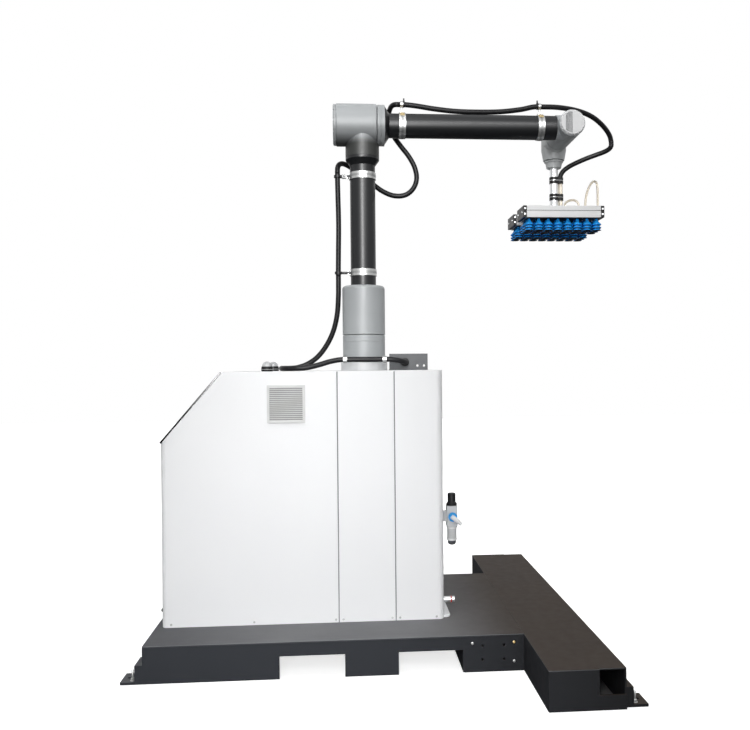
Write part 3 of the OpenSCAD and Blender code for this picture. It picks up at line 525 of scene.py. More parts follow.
# %% Six lengths of hose
HOSE = 0.022
hose_routes = {
    "hose_base": [
        (172, -62, 1178), (172, -80, 1178), (164, -99, 1180), (145, -113, 1184), (120, -118, 1188),
        (100, -118, 1190), (64, -118, 1190), (0, -119, 1190), (-64, -118, 1190), (-100, -118, 1190),
        (-145, -124, 1182), (-190, -133, 1169), (-240, -141, 1158), (-290, -136, 1156), (-328, -110, 1156),
        (-346, -68, 1156), (-346, -24, 1156), (-325, 16, 1156), (-287, 38, 1159), (-245, 42, 1173),
        (-200, 38, 1204), (-160, 30, 1255), (-131, 20, 1315), (-114, 10, 1385), (-108, 2, 1460),
        (-107, 0, 1520), (-107, 0, 1548),
    ],
    "hose_column": [
        (-107, 0, 1548), (-107, 0, 1576), (-106, 0, 1640), (-104, 0, 1770), (-106, 0, 1900),
        (-107, 0, 1960), (-107, 0, 1988),
    ],
    "hose_elbow": [
        (-107, 0, 1988), (-107, 0, 1996), (-106, 7, 2014), (-100, 22, 2030), (-86, 42, 2040),
        (-62, 64, 2037), (-30, 82, 2020), (10, 90, 1994), (50, 87, 1960), (92, 77, 1928), (140, 67, 1908),
        (188, 62, 1911), (222, 62, 1938), (238, 62, 1980), (231, 64, 2030), (206, 68, 2080),
        (172, 74, 2126), (140, 82, 2174), (121, 86, 2222), (118, 70, 2262), (125, 36, 2283),
        (135, 12, 2287), (146, 0, 2286), (157, 0, 2286),
    ],
    "hose_forearm": [
        (157, 0, 2286), (185, 0, 2286), (235, 0, 2281), (310, 0, 2270), (400, 0, 2261), (500, 0, 2259),
        (600, 0, 2262), (690, 0, 2273), (740, 0, 2284), (758, 0, 2286), (786, 0, 2286),
    ],
    "hose_wrist": [
        (786, 0, 2286), (796, 0, 2286), (840, 4, 2287), (885, 12, 2286), (935, 26, 2283), (985, 46, 2277),
        (1030, 68, 2266), (1070, 92, 2249), (1106, 114, 2225), (1129, 130, 2200), (1138, 138, 2176),
        (1138, 138, 2168),
    ],
    "hose_tool": [
        (1138, 138, 2168), (1138, 138, 2158), (1131, 147, 2146), (1112, 160, 2136), (1080, 175, 2126),
        (1040, 188, 2113), (996, 204, 2096), (962, 220, 2080), (937, 230, 2060), (925.5, 232, 2036),
        (925.5, 232, 2004),
    ],
}
hose_bends = {
    "hose_base": ("stand", "column", (-0.107, 0, 1.20), (-0.107, 0, 1.52)),
    "hose_elbow": ("column", "forearm", (0, 0, 2.058), (0, 0, 2.255)),
    "hose_wrist": ("forearm", "wrist", (0.840, 0, 2.286), (1.130, 0, 2.286)),
    "hose_tool": ("wrist", "tool", (1.138, 0.138, 2.168), (0.926, 0.232, 2.036)),
}
hose_bodies = {"hose_column": "column", "hose_forearm": "forearm"}
for name, points in hose_routes.items():
    path = smooth_route(points)
    hose = round_tube("rubber_" + name, path, HOSE, hose_black)
    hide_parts(name)
    if name in hose_bends:
        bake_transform(hose)
    else:
        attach(hose, hose_bodies[name])
    route_length(path)
    print(name, "length", round(route_length(path), 3))


# %% [markdown]
# ## The thin tubes of the gripper
# A clear tube goes on down the post from where the hose ends, and two thin ones stand in arches over the
# near vacuum chamber. They are made as the hose is, and all of them ride on the tool.

# %% Clear tubes
def settle(piece, body):
    """Attaches a piece to the body that it rides on."""
    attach(piece, body)


tube_routes = {
    "drop_tube": (0.020, [(925.5, 232, 2004), (925.5, 232, 1945), (925.5, 232, 1881)]),
    "low_tube": (0.010, [
        (918, 130, 1881), (918, 130, 1888), (925, 127, 1898), (940, 120, 1904), (957, 112, 1903),
        (970, 106, 1893), (975, 105, 1880), (975, 105, 1869),
    ]),
    "tall_tube": (0.010, [
        (998, 80, 1869), (998, 80, 1880), (1001, 80, 1908), (1009, 80, 1940), (1022, 80, 1967),
        (1037, 80, 1982), (1049, 80, 1977), (1054, 80, 1955), (1055, 80, 1915), (1055, 80, 1869),
    ]),
}
for name, (diameter, points) in tube_routes.items():
    path = smooth_route(points, 0.004)
    tube = round_tube(name, path, diameter, tube_clear)
    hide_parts("vacuum_tubes")
    settle(tube, "tool")
    route_length(path)
    print(name, "length", round(route_length(path), 3))


# %% [markdown]
# ## Soft edges on the solids
# A folded sheet or a turned ring never has a knife edge, and a thin line of light along each edge is what
# makes it look real. The solids' own meshes stay as they are. Modifiers weld their loose triangles, join
# the flat ones and bevel what is sharp, and a small Geometry Nodes tree then shades the round walls
# smoothly while it keeps the true edges.

# %% A tree that shades round walls
def start_tree(name, **inputs):
    """A Geometry Nodes tree with named inputs, and the wires of its inputs."""
    tree = bpy.data.node_groups.new(name, "GeometryNodeTree")
    face = tree.interface
    face.new_socket("Geometry", in_out="OUTPUT", socket_type="NodeSocketGeometry")
    face.new_socket("Geometry", in_out="INPUT", socket_type="NodeSocketGeometry")
    for label, kind in inputs.items():
        face.new_socket(label, in_out="INPUT", socket_type="NodeSocket" + kind)
    entry = tree.nodes.new("NodeGroupInput")
    wires = {socket.name: Wire(tree, socket) for socket in entry.outputs if socket.name}
    return tree, wires


def end_tree(tree, geometry):
    feed(tree.nodes.new("NodeGroupOutput"), {0: geometry})


def run_with(modifier, tree, values):
    """Sets a modifier's tree and its inputs, by the identifiers of their sockets."""
    modifier.node_group = tree
    for item in tree.interface.items_tree:
        if item.in_out == "INPUT" and item.name in values:
            modifier[item.identifier] = values[item.name]


shade_tree, wires = start_tree("shade_round_walls", Angle="Float")
angle = wires["Geometry"].node("GeometryNodeInputMeshEdgeAngle")
sharp = angle.node("FunctionNodeCompare", {"operation": "GREATER_THAN"}, {0: angle, 1: wires["Angle"]})
rounded = sharp.node(
    "GeometryNodeSetShadeSmooth", {"domain": "FACE"}, {"Geometry": wires["Geometry"], "Shade Smooth": True}
)
kept = sharp.node(
    "GeometryNodeSetShadeSmooth", {"domain": "EDGE"},
    {"Geometry": rounded, "Selection": sharp, "Shade Smooth": False},
)
end_tree(shade_tree, kept)
print("tree", shade_tree.name)


# %% Bevel and shade the solids
WELD_GAP, BEVEL_STEPS = 0.00002, 2
FLAT_ANGLE, BEVEL_ANGLE, ROUND_ANGLE = (math.radians(degrees) for degrees in (0.4, 35, 40))


def soften(node_name, width):
    """Welds a solid, bevels its edges where a width in millimetres is given, and shades it."""
    node = nodes[node_name]
    node.modifiers.new("weld", "WELD").merge_threshold = WELD_GAP
    flat = node.modifiers.new("flat", "DECIMATE")
    flat.decimate_type = "DISSOLVE"
    flat.angle_limit = FLAT_ANGLE
    if width:
        edge = node.modifiers.new("edge", "BEVEL")
        edge.width = width * MM
        edge.segments = BEVEL_STEPS
        edge.limit_method = "ANGLE"
        edge.angle_limit = BEVEL_ANGLE
        edge.use_clamp_overlap = True
    run_with(node.modifiers.new("shade", "NODES"), shade_tree, {"Angle": ROUND_ANGLE})
    node.modifiers.new("even", "WEIGHTED_NORMAL").keep_sharp = True


edge_widths = {
    0: ("lamp_domes", "upper_tube", "forearm_tube"),
    0.5: ("cabinet_frame", "base_clips", "column_clamps", "forearm_clamps"),
    0.6: ("forearm_ring",),
    0.8: (
        "top_panel", "vent_grille", "regulator_knob", "regulator_bowl", "air_inlet", "tool_flange",
        "vacuum_chambers",
    ),
    1.0: (
        "left_end_panel", "right_end_panel", "slope_panel", "foot_flange", "hose_bracket", "regulator_valve",
        "upper_flare", "elbow_cap", "forearm_flare", "wrist_cap", "gripper_post", "post_straps",
        "gripper_bridge",
    ),
    1.2: (
        "deck_plate", "front_skirt", "back_skirt", "left_skirt", "middle_skid", "cross_wall",
        "crossbar_shell", "crossbar_ends", "front_panel_left", "front_panel_middle", "front_panel_right",
        "back_panels", "lamp_bases", "chamber_ends",
    ),
    1.5: ("anchor_feet", "operator_panel", "hose_fitting", "base_housing", "turret"),
    2.0: ("regulator_body", "pedestal_flange", "tool_joint"),
    3.0: ("elbow_housing", "wrist_housing"),
}
for width, node_names in edge_widths.items():
    for node_name in node_names:
        soften(node_name, width)
print("softened", sum(len(node_names) for node_names in edge_widths.values()), "of", len(nodes))


# %% Finishes of the solids
subparts = {part["node"]: part["material_slot"] for part in frame["record"]["subparts"]}
for node_name, node in nodes.items():
    for holder in node.material_slots:
        holder.material = finishes[subparts[node_name]]
nodes["elbow_housing"].material_slots[0].material = elbow_grey_painted_shade
nodes["wrist_cap"].material_slots[0].material = cap_grey
for node_name in ("tool_joint", "tool_flange"):
    nodes[node_name].material_slots[0].material = joint_grey
print("solids with a finish", len(nodes))


# %% [markdown]
# ## Screws and bolts
# The photograph shows small screws along the foot of the cabinet, a lock on its left end, bolts on the
# base and on the gripper's end plates, and jack bolts on the floor plates. One head of each kind is spun
# once, and a Geometry Nodes tree sets it on a list of points, each with the direction that it faces. All
# the heads of one kind on one body then become one plain mesh.

# %% Spun heads
def spun(rings, sides=12, cap=True):
    """A turned shape along Z from (radius, height, hex or round) rings."""
    shape = bmesh.new()
    loops = []
    for radius, height, flats in rings:
        loop = []
        for k in range(sides):
            reach = radius * math.cos(math.pi / 6) if flats and k % 2 else radius
            turn = 2 * math.pi * k / sides
            loop.append(shape.verts.new((reach * math.cos(turn), reach * math.sin(turn), height)))
        loops.append(loop)
    walls(shape, loops, ends=cap)
    return shape


def socket_head(radius, height):
    """A low round head with a hexagon sunk in its top."""
    return spun([
        (radius, -0.001, False), (radius, 0.55 * height, False), (0.82 * radius, 0.92 * height, False),
        (0.66 * radius, height, False), (0.50 * radius, height, True), (0.48 * radius, 0.4 * height, True),
    ])


def hex_bolt(radius, height, stud):
    """A hexagon nut on a washer, with the end of its stud above it."""
    return spun([
        (1.35 * radius, -0.001, False), (1.35 * radius, 0.12 * height, False), (radius, 0.12 * height, True),
        (radius, 0.92 * height, True), (0.86 * radius, height, True), (0.55 * radius, height, False),
        (0.55 * radius, height + stud - 0.001, False), (0.45 * radius, height + stud, False),
    ])


print("heads ready")


# %% Heads on points
def end_with_finish(tree, instances, material):
    """Makes the instances real, gives them their material and ends the tree."""
    real = instances.node("GeometryNodeRealizeInstances", None, {"Geometry": instances})
    end_tree(tree, real.node("GeometryNodeSetMaterial", None, {"Geometry": real, "Material": material}))


head_tree, wires = start_tree("heads_on_points", Head="Object", Finish="Material")
facing = wires["Geometry"].node(
    "GeometryNodeInputNamedAttribute", {"data_type": "FLOAT_VECTOR"}, {"Name": "facing"}
)
turned = facing.node("FunctionNodeAlignRotationToVector", {"axis": "Z"}, {"Vector": facing})
head = facing.node("GeometryNodeObjectInfo", None, {"Object": wires["Head"]}, out=4)
heads = head.node(
    "GeometryNodeInstanceOnPoints", None,
    {"Points": wires["Geometry"], "Instance": head, "Rotation": turned},
)
end_with_finish(head_tree, heads, wires["Finish"])
CREASE = math.radians(35)


def grown(name, tree, values, mesh=None):
    """Runs a tree once and keeps what it makes as a plain mesh."""
    piece = bpy.data.objects.new(name, mesh or bpy.data.meshes.new(name + "_start"))
    scene.collection.objects.link(piece)
    modifier = piece.modifiers.new("grow", "NODES")
    run_with(modifier, tree, values)
    seen = piece.evaluated_get(bpy.context.evaluated_depsgraph_get())
    result = bpy.data.meshes.new_from_object(seen)
    piece.modifiers.remove(modifier)
    piece.data = result
    return piece


def shade_by_angle(piece):
    """Shades a piece smoothly, apart from edges that bend more than a crease."""
    shape = bmesh.new()
    shape.from_mesh(piece.data)
    for wall in shape.faces:
        wall.smooth = True
    for edge in shape.edges:
        edge.smooth = edge.calc_face_angle(0) < CREASE
    shape.to_mesh(piece.data)
    shape.free()
    return piece


def set_heads(name, head_shape, material, body, spots):
    """Heads at spots, each a point in millimetres and the direction that its head faces."""
    mesh = bpy.data.meshes.new(name + "_spots")
    mesh.from_pydata([Vector(point) * MM for point, _ in spots], [], [])
    attribute = mesh.attributes.new("facing", "FLOAT_VECTOR", "POINT")
    for value, (_, direction) in zip(attribute.data, spots):
        value.vector = direction
    head_object = piece_from(name + "_head", head_shape)
    piece = grown(name, head_tree, {"Head": head_object, "Finish": material}, mesh)
    bpy.data.objects.remove(head_object)
    settle(shade_by_angle(piece), body)
    print(name, len(spots), "heads")


FRONT, BACK, LEFT, RIGHT, UP = (0, -1, 0), (0, 1, 0), (-1, 0, 0), (1, 0, 0), (0, 0, 1)


def front_and_back(spots, face_y):
    """The same X and Z places on the front and, by symmetry, on the back."""
    return [((x, y, z), way) for x, z in spots for y, way in ((-face_y, FRONT), (face_y, BACK))]


# %% Cabinet screws and base bolts
cabinet_left, cabinet_right, cabinet_half = -809, 309, 244
skirt_half = -1000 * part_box("front_skirt")[0].y
panel_foot = [(x, 152) for x in (-772, -449, -126, -97, 99, 130, 277)]
set_heads("panel_screws", socket_head(0.0046, 0.0026), clamp_metal, "stand",
          front_and_back(panel_foot, cabinet_half))
set_heads("end_screws", socket_head(0.0050, 0.0030), clamp_metal, "stand",
          [((cabinet_right, -205, z), RIGHT) for z in (297, 338, 386)])
set_heads("end_lock", socket_head(0.0075, 0.0040), black_plastic, "stand",
          [((cabinet_left, -224, 206), LEFT)])
plate_x, plate_z, bolt_aside, bolt_up = 470, 73, 80, 36
steel_spots = [(plate_x - bolt_aside, plate_z + bolt_up), (plate_x + bolt_aside, plate_z - bolt_up)]
set_heads("skirt_bolts", socket_head(0.0056, 0.0032), clamp_metal, "stand",
          front_and_back(steel_spots, skirt_half))
set_heads("yellow_bolts", socket_head(0.0056, 0.0032), screw_brass, "stand",
          front_and_back([(plate_x + bolt_aside, plate_z + bolt_up)], skirt_half))
left_foot, right_foot = (-873, 403.5), (894, 768.5)
foot_top, jack_aside = 10, 28
jacks = [
    ((x, side * y + step, foot_top), UP)
    for x, y in (left_foot, right_foot) for side in (-1, 1) for step in (-jack_aside, jack_aside)
]
set_heads("jack_bolts", hex_bolt(0.007, 0.010, 0.030), clamp_metal, "stand", jacks)


# %% Screws of the gripper's end plates
chamber_sides = ((58, 192), (272, 406))
plate_fronts = [
    ((x, y, z), way)
    for x in (719.5, 1070.5) for sides in chamber_sides
    for y, way in zip(sides, (FRONT, BACK)) for z in (1831, 1855)
]
plate_ends = [
    ((x, y, 1843), way) for x, way in ((711.5, LEFT), (1078.5, RIGHT)) for y in (84, 166, 298, 380)
]
set_heads("end_plate_screws", socket_head(0.0050, 0.0030), bright_metal, "tool",
          plate_fronts + plate_ends)


# %% [markdown]
# ## Suction cups
# Below the two chambers hang rows of soft blue cups. Each has a cone at its top, two folds like a bellows
# and a wide thin lip, which is open below. One cup is spun from a profile, and a tree hangs it on a grid
# of points, once for each chamber, so that the rows are even by construction. Each chamber has a black
# sole above the cups, painted shade that darkens the gaps between them, and a dark strip in the groove
# along each long side, painted shade in the groove.

# %% Cups on two grids
cup_low, cup_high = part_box("suction_cups")
CUP_R = 0.021
CUP_H = cup_high.z - cup_low.z
CUP_ROWS = 3
CUP_COLUMNS = 8
cup_profile = [
    (0.20, 0.0), (0.26, 0.10), (0.44, 0.28), (0.84, 0.44), (0.98, 0.49), (1.0, 0.52), (0.95, 0.56),
    (0.72, 0.62), (0.68, 0.65), (0.76, 0.69), (0.97, 0.75), (1.0, 0.78), (0.95, 0.82), (0.76, 0.87),
    (0.74, 0.90), (0.82, 0.94), (0.98, 0.98), (1.0, 1.0), (0.88, 1.0), (0.78, 0.97), (0.5, 0.9),
    (0.12, 0.86),
]
cup_shape = spun([(CUP_R * r, -CUP_H * z, False) for r, z in cup_profile], sides=20)
cup = piece_from("one_cup", cup_shape)
for wall in cup.data.polygons:
    wall.use_smooth = True

cup_tree, wires = start_tree(
    "cups_on_grids", Cup="Object", Columns="Int", Rows="Int", Length="Float", Depth="Float",
    Chambers="Vector", First="Vector", Finish="Material",
)
grid = wires["Geometry"].node("GeometryNodeMeshGrid", None, {
    "Size X": wires["Length"], "Size Y": wires["Depth"],
    "Vertices X": wires["Columns"], "Vertices Y": wires["Rows"],
})
one = grid.node("GeometryNodeObjectInfo", None, {"Object": wires["Cup"]}, out=4)
field = grid.node("GeometryNodeInstanceOnPoints", None, {"Points": grid, "Instance": one})
middles = grid.node("GeometryNodeMeshLine", None, {
    "Count": 2, "Start Location": wires["First"], "Offset": wires["Chambers"],
})
both = grid.node("GeometryNodeInstanceOnPoints", None, {"Points": middles, "Instance": field})
end_with_finish(cup_tree, both, wires["Finish"])
near_y, far_y = 0.125, 0.339
cups = grown("bellows_cups", cup_tree, {
    "Cup": cup, "Columns": CUP_COLUMNS, "Rows": CUP_ROWS,
    "Length": cup_high.x - cup_low.x - 2 * CUP_R, "Depth": 2 * (near_y - cup_low.y - CUP_R),
    "Chambers": (0, far_y - near_y, 0), "First": ((cup_low.x + cup_high.x) / 2, near_y, cup_high.z),
    "Finish": cup_blue,
})
bpy.data.objects.remove(cup)
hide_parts("suction_cups")
settle(cups, "tool")
print("cups", 2 * CUP_ROWS * CUP_COLUMNS, "faces", len(cups.data.polygons))


# %% Black sole and dark groove strips of the chambers, as painted shade
def block(shape, low, high, soft):
    """A box with soft edges, added to a shape."""
    low, high = Vector(low) * MM, Vector(high) * MM
    made = bmesh.ops.create_cube(shape, size=1.0)["verts"]
    for vert in made:
        vert.co = (low + high) / 2 + Vector(a * b for a, b in zip(vert.co, high - low))
    edges = list({edge for vert in made for edge in vert.link_edges})
    bmesh.ops.bevel(shape, geom=edges, offset=soft * MM, segments=2, profile=0.5, affect="EDGES")


def trim(name, shape, material, body):
    """A piece from a finished shape, with its finish and its body."""
    piece = shade_by_angle(piece_from(name, shape, material))
    settle(piece, body)
    print(name, len(piece.data.polygons), "faces")


chamber_low, chamber_high = (1000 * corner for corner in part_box("vacuum_chambers"))
sole_bottom = chamber_low.z - 2
groove_low, groove_high, groove_half = 1846.6, 1848.4, 0.4
# Painted shade: a black sheet under each chamber darkens the gaps between the cups, and a dark strip in each
# groove stands for the shade in it.
shade_soles = bmesh.new()
groove_shade = bmesh.new()
for front, back in chamber_sides:
    block(shade_soles, (chamber_low.x + 1, front + 1, sole_bottom),
          (chamber_high.x - 1, back - 1, chamber_low.z), 0.4)
    for face in (front, back):
        block(groove_shade, (chamber_low.x, face - groove_half, groove_low),
              (chamber_high.x, face + groove_half, groove_high), 0.2)
trim("chamber_soles", shade_soles, black_plastic, "tool")
trim("chamber_grooves", groove_shade, bracket_grey, "tool")


# %% [markdown]
# ## Hose clamps and ties
# Steel bands hold the hose's clips on the tubes. A worm screw draws each band tight, and its thread runs
# in a row of slots that go round the band. The slots are a rule, a count round a circle, so a tree makes
# them. On the forearm the screw's shell is yellow zinc and bends with the band, and a black tie holds the
# hose at each clip. The column's clips are lined with black plastic, and the upper one has a white saddle.

# %% Slots round the bands
slot_tree, wires = start_tree(
    "slots_round_band", Count="Int", Radius="Float", Slot="Vector", Finish="Material"
)
circle = wires["Geometry"].node(
    "GeometryNodeMeshCircle", None, {"Vertices": wires["Count"], "Radius": wires["Radius"]}
)
spot = circle.node("GeometryNodeInputPosition")
turned = spot.node("FunctionNodeAlignRotationToVector", {"axis": "X"}, {"Vector": spot})
bar = spot.node("GeometryNodeMeshCube", None, {"Size": wires["Slot"]})
slots = bar.node(
    "GeometryNodeInstanceOnPoints", None, {"Points": circle, "Instance": bar, "Rotation": turned}
)
end_with_finish(slot_tree, slots, wires["Finish"])


def at(x, y, z):
    """A place in millimetres, as a matrix."""
    return Matrix.Translation(Vector((x, y, z)) * MM)


def band_slots(name, radius, places, body):
    """Slots on bands of one radius; places put a band round Z where it belongs."""
    ring = grown(name, slot_tree, {
        "Count": 76, "Radius": radius, "Slot": (0.0004, 0.0016, 0.010), "Finish": bracket_grey,
    })
    shape = bmesh.new()
    for place in places:
        copy = ring.data.copy()
        copy.transform(place)
        shape.from_mesh(copy)
        bpy.data.meshes.remove(copy)
    shape.to_mesh(ring.data)
    shape.free()
    settle(ring, body)
    print(name, len(ring.data.polygons), "faces")


ARM_Z = 2194
low_clip, high_clip = 1562, 1974
column_clips = (low_clip, high_clip)
forearm_clips = (171, 772)
along_x = Matrix.Rotation(math.pi / 2, 4, "Y")
forearm_band_r = ARM_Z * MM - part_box("forearm_clamps")[0].z
band_slots("column_band_slots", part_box("column_clamps")[1].x, [at(0, 0, z) for z in column_clips], "column")
band_slots("forearm_band_slots", forearm_band_r,
           [at(x, 0, ARM_Z) @ along_x for x in forearm_clips], "forearm")


# %% Worm screws and their yellow shells
def band_rings(shape, middle, turns, half, inner, outer):
    """The cross-sections of a flat band round X, at each turn, from its half width and its radii."""
    corners = [(-half, inner), (half, inner), (half, outer), (-half, outer)]
    rings = []
    for turn in turns:
        aim = Vector((0, math.cos(turn), math.sin(turn)))
        places = [(middle + Vector((step, 0, 0)) + aim * reach) * MM for step, reach in corners]
        rings.append([shape.verts.new(place) for place in places])
    return rings


set_heads("column_worms", hex_bolt(0.0055, 0.006, 0.002), bracket_grey, "column",
          [((-60, -10, z), FRONT) for z in column_clips])
set_heads("forearm_worms", hex_bolt(0.0055, 0.006, 0.002), clamp_metal, "forearm",
          [((x, -10.6, 2251.5), FRONT) for x in forearm_clips])
SHELL_STEPS, SHELL_FRONT, SHELL_SWEEP, SHELL_HALF = 8, 142, 34, 9.6
shell_turns = [math.radians(SHELL_FRONT - SHELL_SWEEP * k / SHELL_STEPS) for k in range(SHELL_STEPS + 1)]
shell_r = 1000 * forearm_band_r
shells = bmesh.new()
for x in forearm_clips:
    middle = Vector((x, 0, ARM_Z))
    walls(shells, band_rings(shells, middle, shell_turns, SHELL_HALF, shell_r - 0.4, shell_r + 2.2))
trim("worm_shells", shells, screw_brass, "forearm")


# %% Black clip linings and a white saddle
column_hose_x = -107
lining_in, lining_out, lining_half = 0.0142, 0.0153, 0.0053
lining = [
    (lining_in, -lining_half), (lining_out, -lining_half), (lining_out, lining_half),
    (lining_in, lining_half), (lining_in, -lining_half),
]
set_heads("clip_linings", spun([(r, z, False) for r, z in lining], 24, cap=False), black_plastic,
          "column", [((column_hose_x, 0, z), UP) for z in column_clips])
links = bmesh.new()
block(links, (-96, -7, high_clip - 6), (-86, 7, high_clip + 6), 1.0)
block(links, (-96, -6, low_clip - 5), (-58, 6, low_clip + 5), 1.0)
trim("clip_links", links, black_plastic, "column")
saddle_front = -9
saddle = bmesh.new()
block(saddle, (-88, saddle_front, high_clip - 8), (-71, -saddle_front, high_clip + 8), 1.4)
trim("clip_saddle", saddle, white_plastic, "column")
set_heads("saddle_screw", socket_head(0.0034, 0.0014), black_plastic, "column",
          [((-80, saddle_front, high_clip), FRONT)])


# %% Ties round the hose, their short tails upright
TIE_STEPS, TIE_HALF, TIE_OUTER = 24, 2.4, 12.6
tie_turns = [2 * math.pi * k / TIE_STEPS for k in range(TIE_STEPS)]
hose_r = 500 * HOSE
hose_z = 2286
ties = bmesh.new()
for x in (180, 763):
    hoop = band_rings(ties, Vector((x, 0, hose_z)), tie_turns, TIE_HALF, hose_r, TIE_OUTER)
    walls(ties, hoop, ends=False, closed=True)
    block(ties, (x - 4, -4.5, hose_z + 11.5), (x + 4, 3.5, hose_z + 17), 0.8)
    block(ties, (x - 3, -1.5, hose_z + 16), (x + 3, 1.5, hose_z + 27), 0.5)
trim("forearm_ties", ties, black_plastic, "forearm")


# %% [markdown]
# ## Trim on the cabinet
# Two black rails run down the slope beside the operator panel, so that its edge shows as a black line from
# the front. A grey strip at the bottom of each slot of the vent grille is painted shade between the slats.

# %% Panel rails and painted shade in the grille slots
slope_foot, slope_run, slope_rise = 861, 244, 283
slope_length = math.hypot(slope_run, slope_rise)
rails = bmesh.new()
for inner, outer in ((-242, -222), (222, 242)):
    block(rails, (4, inner, 0), (slope_length - 6, outer, 7), 1.0)
tilt = Matrix.Rotation(-math.atan2(slope_rise, slope_run), 4, "Y")
rails.transform(at(cabinet_left, 0, slope_foot) @ tilt)
trim("panel_rails", rails, panel_black, "stand")
grille_x, grille_foot, slot_y = -316, 950, -247
slat_count, slat_pitch = 17, 130 / 17
# Painted shade: a grey strip at the bottom of each slot of the grille, between the slats.
slot_shade = bmesh.new()
block(slot_shade, (-64.8, -1.8, 0), (64.8, 1.8, 0.5), 0.1)
slot_heights = [grille_foot + (i + 0.5) * slat_pitch for i in range(slat_count)]
set_heads("grille_slots", slot_shade, slot_grey, "stand",
          [((grille_x, slot_y, z), FRONT) for z in slot_heights])


# %% [markdown]
# ## Ribs on the wrist cap
# The cap that closes the wrist has upright ribs on the half that faces the column. Each rib's length is
# the chord of the disc at its place, so the tree works it out: a line of points gives the places, and a
# bar on each point is stretched to its chord.

# %% Ribs by their chords
rib_tree, wires = start_tree(
    "ribs_in_disc", Count="Int", First="Float", Pitch="Float", Radius="Float", Bar="Vector",
    Finish="Material",
)
start = wires["First"].node("ShaderNodeCombineXYZ", None, {0: wires["First"]})
step = wires["Pitch"].node("ShaderNodeCombineXYZ", None, {0: wires["Pitch"]})
line = start.node("GeometryNodeMeshLine", None, {
    "Count": wires["Count"], "Start Location": start, "Offset": step,
})
spot = line.node("GeometryNodeInputPosition")
across = axis(spot, 0)
chord = 2 * (wires["Radius"] * wires["Radius"] - across * across) ** 0.5
stretch = chord.node("ShaderNodeCombineXYZ", None, {0: 1.0, 1: 1.0, 2: chord})
bar = chord.node("GeometryNodeMeshCube", None, {"Size": wires["Bar"]})
ribs = bar.node("GeometryNodeInstanceOnPoints", None, {"Points": line, "Instance": bar, "Scale": stretch})
end_with_finish(rib_tree, ribs, wires["Finish"])
cap_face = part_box("wrist_cap")[0].y
cap_ribs = grown("cap_ribs", rib_tree, {
    "Count": 6, "First": -0.030, "Pitch": 0.005, "Radius": 0.045, "Bar": (0.0018, 0.0024, 1.0),
    "Finish": bracket_grey,
})
wrist_x, rib_ahead = 895, 0.8
cap_ribs.data.transform(at(wrist_x, 1000 * cap_face - rib_ahead, ARM_Z))
settle(cap_ribs, "forearm")
print("ribs", len(cap_ribs.data.polygons), "faces")


# %% [markdown]
# ## Small parts of the air unit and the lamps
# The air unit on the cabinet's end has a blue ring round a white push-in stub, white bands and a dark foot
# on its bowl, and a red ring on the inlet below. The lamps' black bases have a light line round them and a
# black collar on top. These are turned parts, so each is spun from a short profile and then set in place.

# %% Turned rings and sleeves of the air unit
TURNED_SIDES, SEAM = 32, 0.00001


def turned_piece(name, rings, places, material):
    """One profile spun, then set at each place on the stand, as one piece."""
    shape = bmesh.new()
    for place in places:
        one = spun([(r * MM, z * MM, False) for r, z in rings], TURNED_SIDES, cap=False)
        one.transform(place)
        mesh = bpy.data.meshes.new("part")
        one.to_mesh(mesh)
        one.free()
        shape.from_mesh(mesh)
        bpy.data.meshes.remove(mesh)
    bmesh.ops.remove_doubles(shape, verts=shape.verts[:], dist=SEAM)
    trim(name, shape, material, "stand")


def ring_profile(inner, outer, height):
    """A closed ring with its two outer edges cut off."""
    edge = min(0.6, height / 4, (outer - inner) / 3)
    return [
        (inner, 0), (outer - edge, 0), (outer, edge), (outer, height - edge), (outer - edge, height),
        (inner, height), (inner, 0),
    ]


unit_x, unit_y, valve_z = 360, -100, 530
stub_turn = Matrix.Rotation(math.radians(90 + 40), 4, "Y")
to_front = Matrix.Rotation(math.pi / 2, 4, "X")
valve_front = 1000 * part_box("regulator_valve")[0].y
turned_piece("valve_ring", ring_profile(13.5, 19.0, 10), [at(unit_x, valve_front + 10, valve_z) @ to_front],
             valve_blue)
sleeve = [
    (0, -8), (8.0, -8), (9.4, -6.5), (9.4, 30), (8.6, 31), (8.6, 45), (7.6, 46), (4.6, 46), (4.6, 40),
    (0, 40),
]
turned_piece("valve_sleeve", sleeve, [at(unit_x, valve_front - 5, valve_z) @ stub_turn],
             white_plastic)
turned_piece("bowl_bands", ring_profile(19.5, 22, 7), [at(unit_x, unit_y, z) for z in (478, 429)],
             white_plastic)
bowl_low = 1000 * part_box("regulator_bowl")[0].z
foot = [(0, 0.5), (9, 0.5), (13, 2), (16.5, 7), (17.5, 12), (17.5, 22), (0, 22)]
turned_piece("bowl_foot", foot, [at(unit_x, unit_y, bowl_low)], bracket_grey)
inlet_low, inlet_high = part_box("air_inlet")
inlet_r = 1000 * (inlet_high.z - inlet_low.z) / 3
inlet_end, inlet_z = 1000 * inlet_high.x, 178
turned_piece("inlet_ring", ring_profile(inlet_r - 0.5, inlet_r + 1.6, 5),
             [at(inlet_end - 17, unit_y, inlet_z) @ along_x], ring_red)


# %% Collars and light lines of the lamps
lamp_spots = [(-399, -145), (-399, 145)]
lamp_low, lamp_high = (1000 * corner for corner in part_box("lamp_bases"))
lamp_r = (lamp_high.x - lamp_low.x) / 2
lamp_z = (lamp_low.z + lamp_high.z) / 2
turned_piece("lamp_collars", ring_profile(19.6, 22.6, 5),
             [at(x, y, lamp_high.z - 0.5) for x, y in lamp_spots], black_plastic)
turned_piece("lamp_rings", ring_profile(lamp_r - 1, lamp_r + 0.5, 1.4),
             [at(x, y, lamp_z) for x, y in lamp_spots], unit_grey)


# %% [markdown]
# ## The clamps on the gripper's post
# Each black clamp goes round the post and the hose together, and a thin light line parts it into two
# bands. The outline is the hull of two circles, so it can be written down: an arc on the post's side, an
# arc on the hose's side, and straight runs where both touch the same tangent.

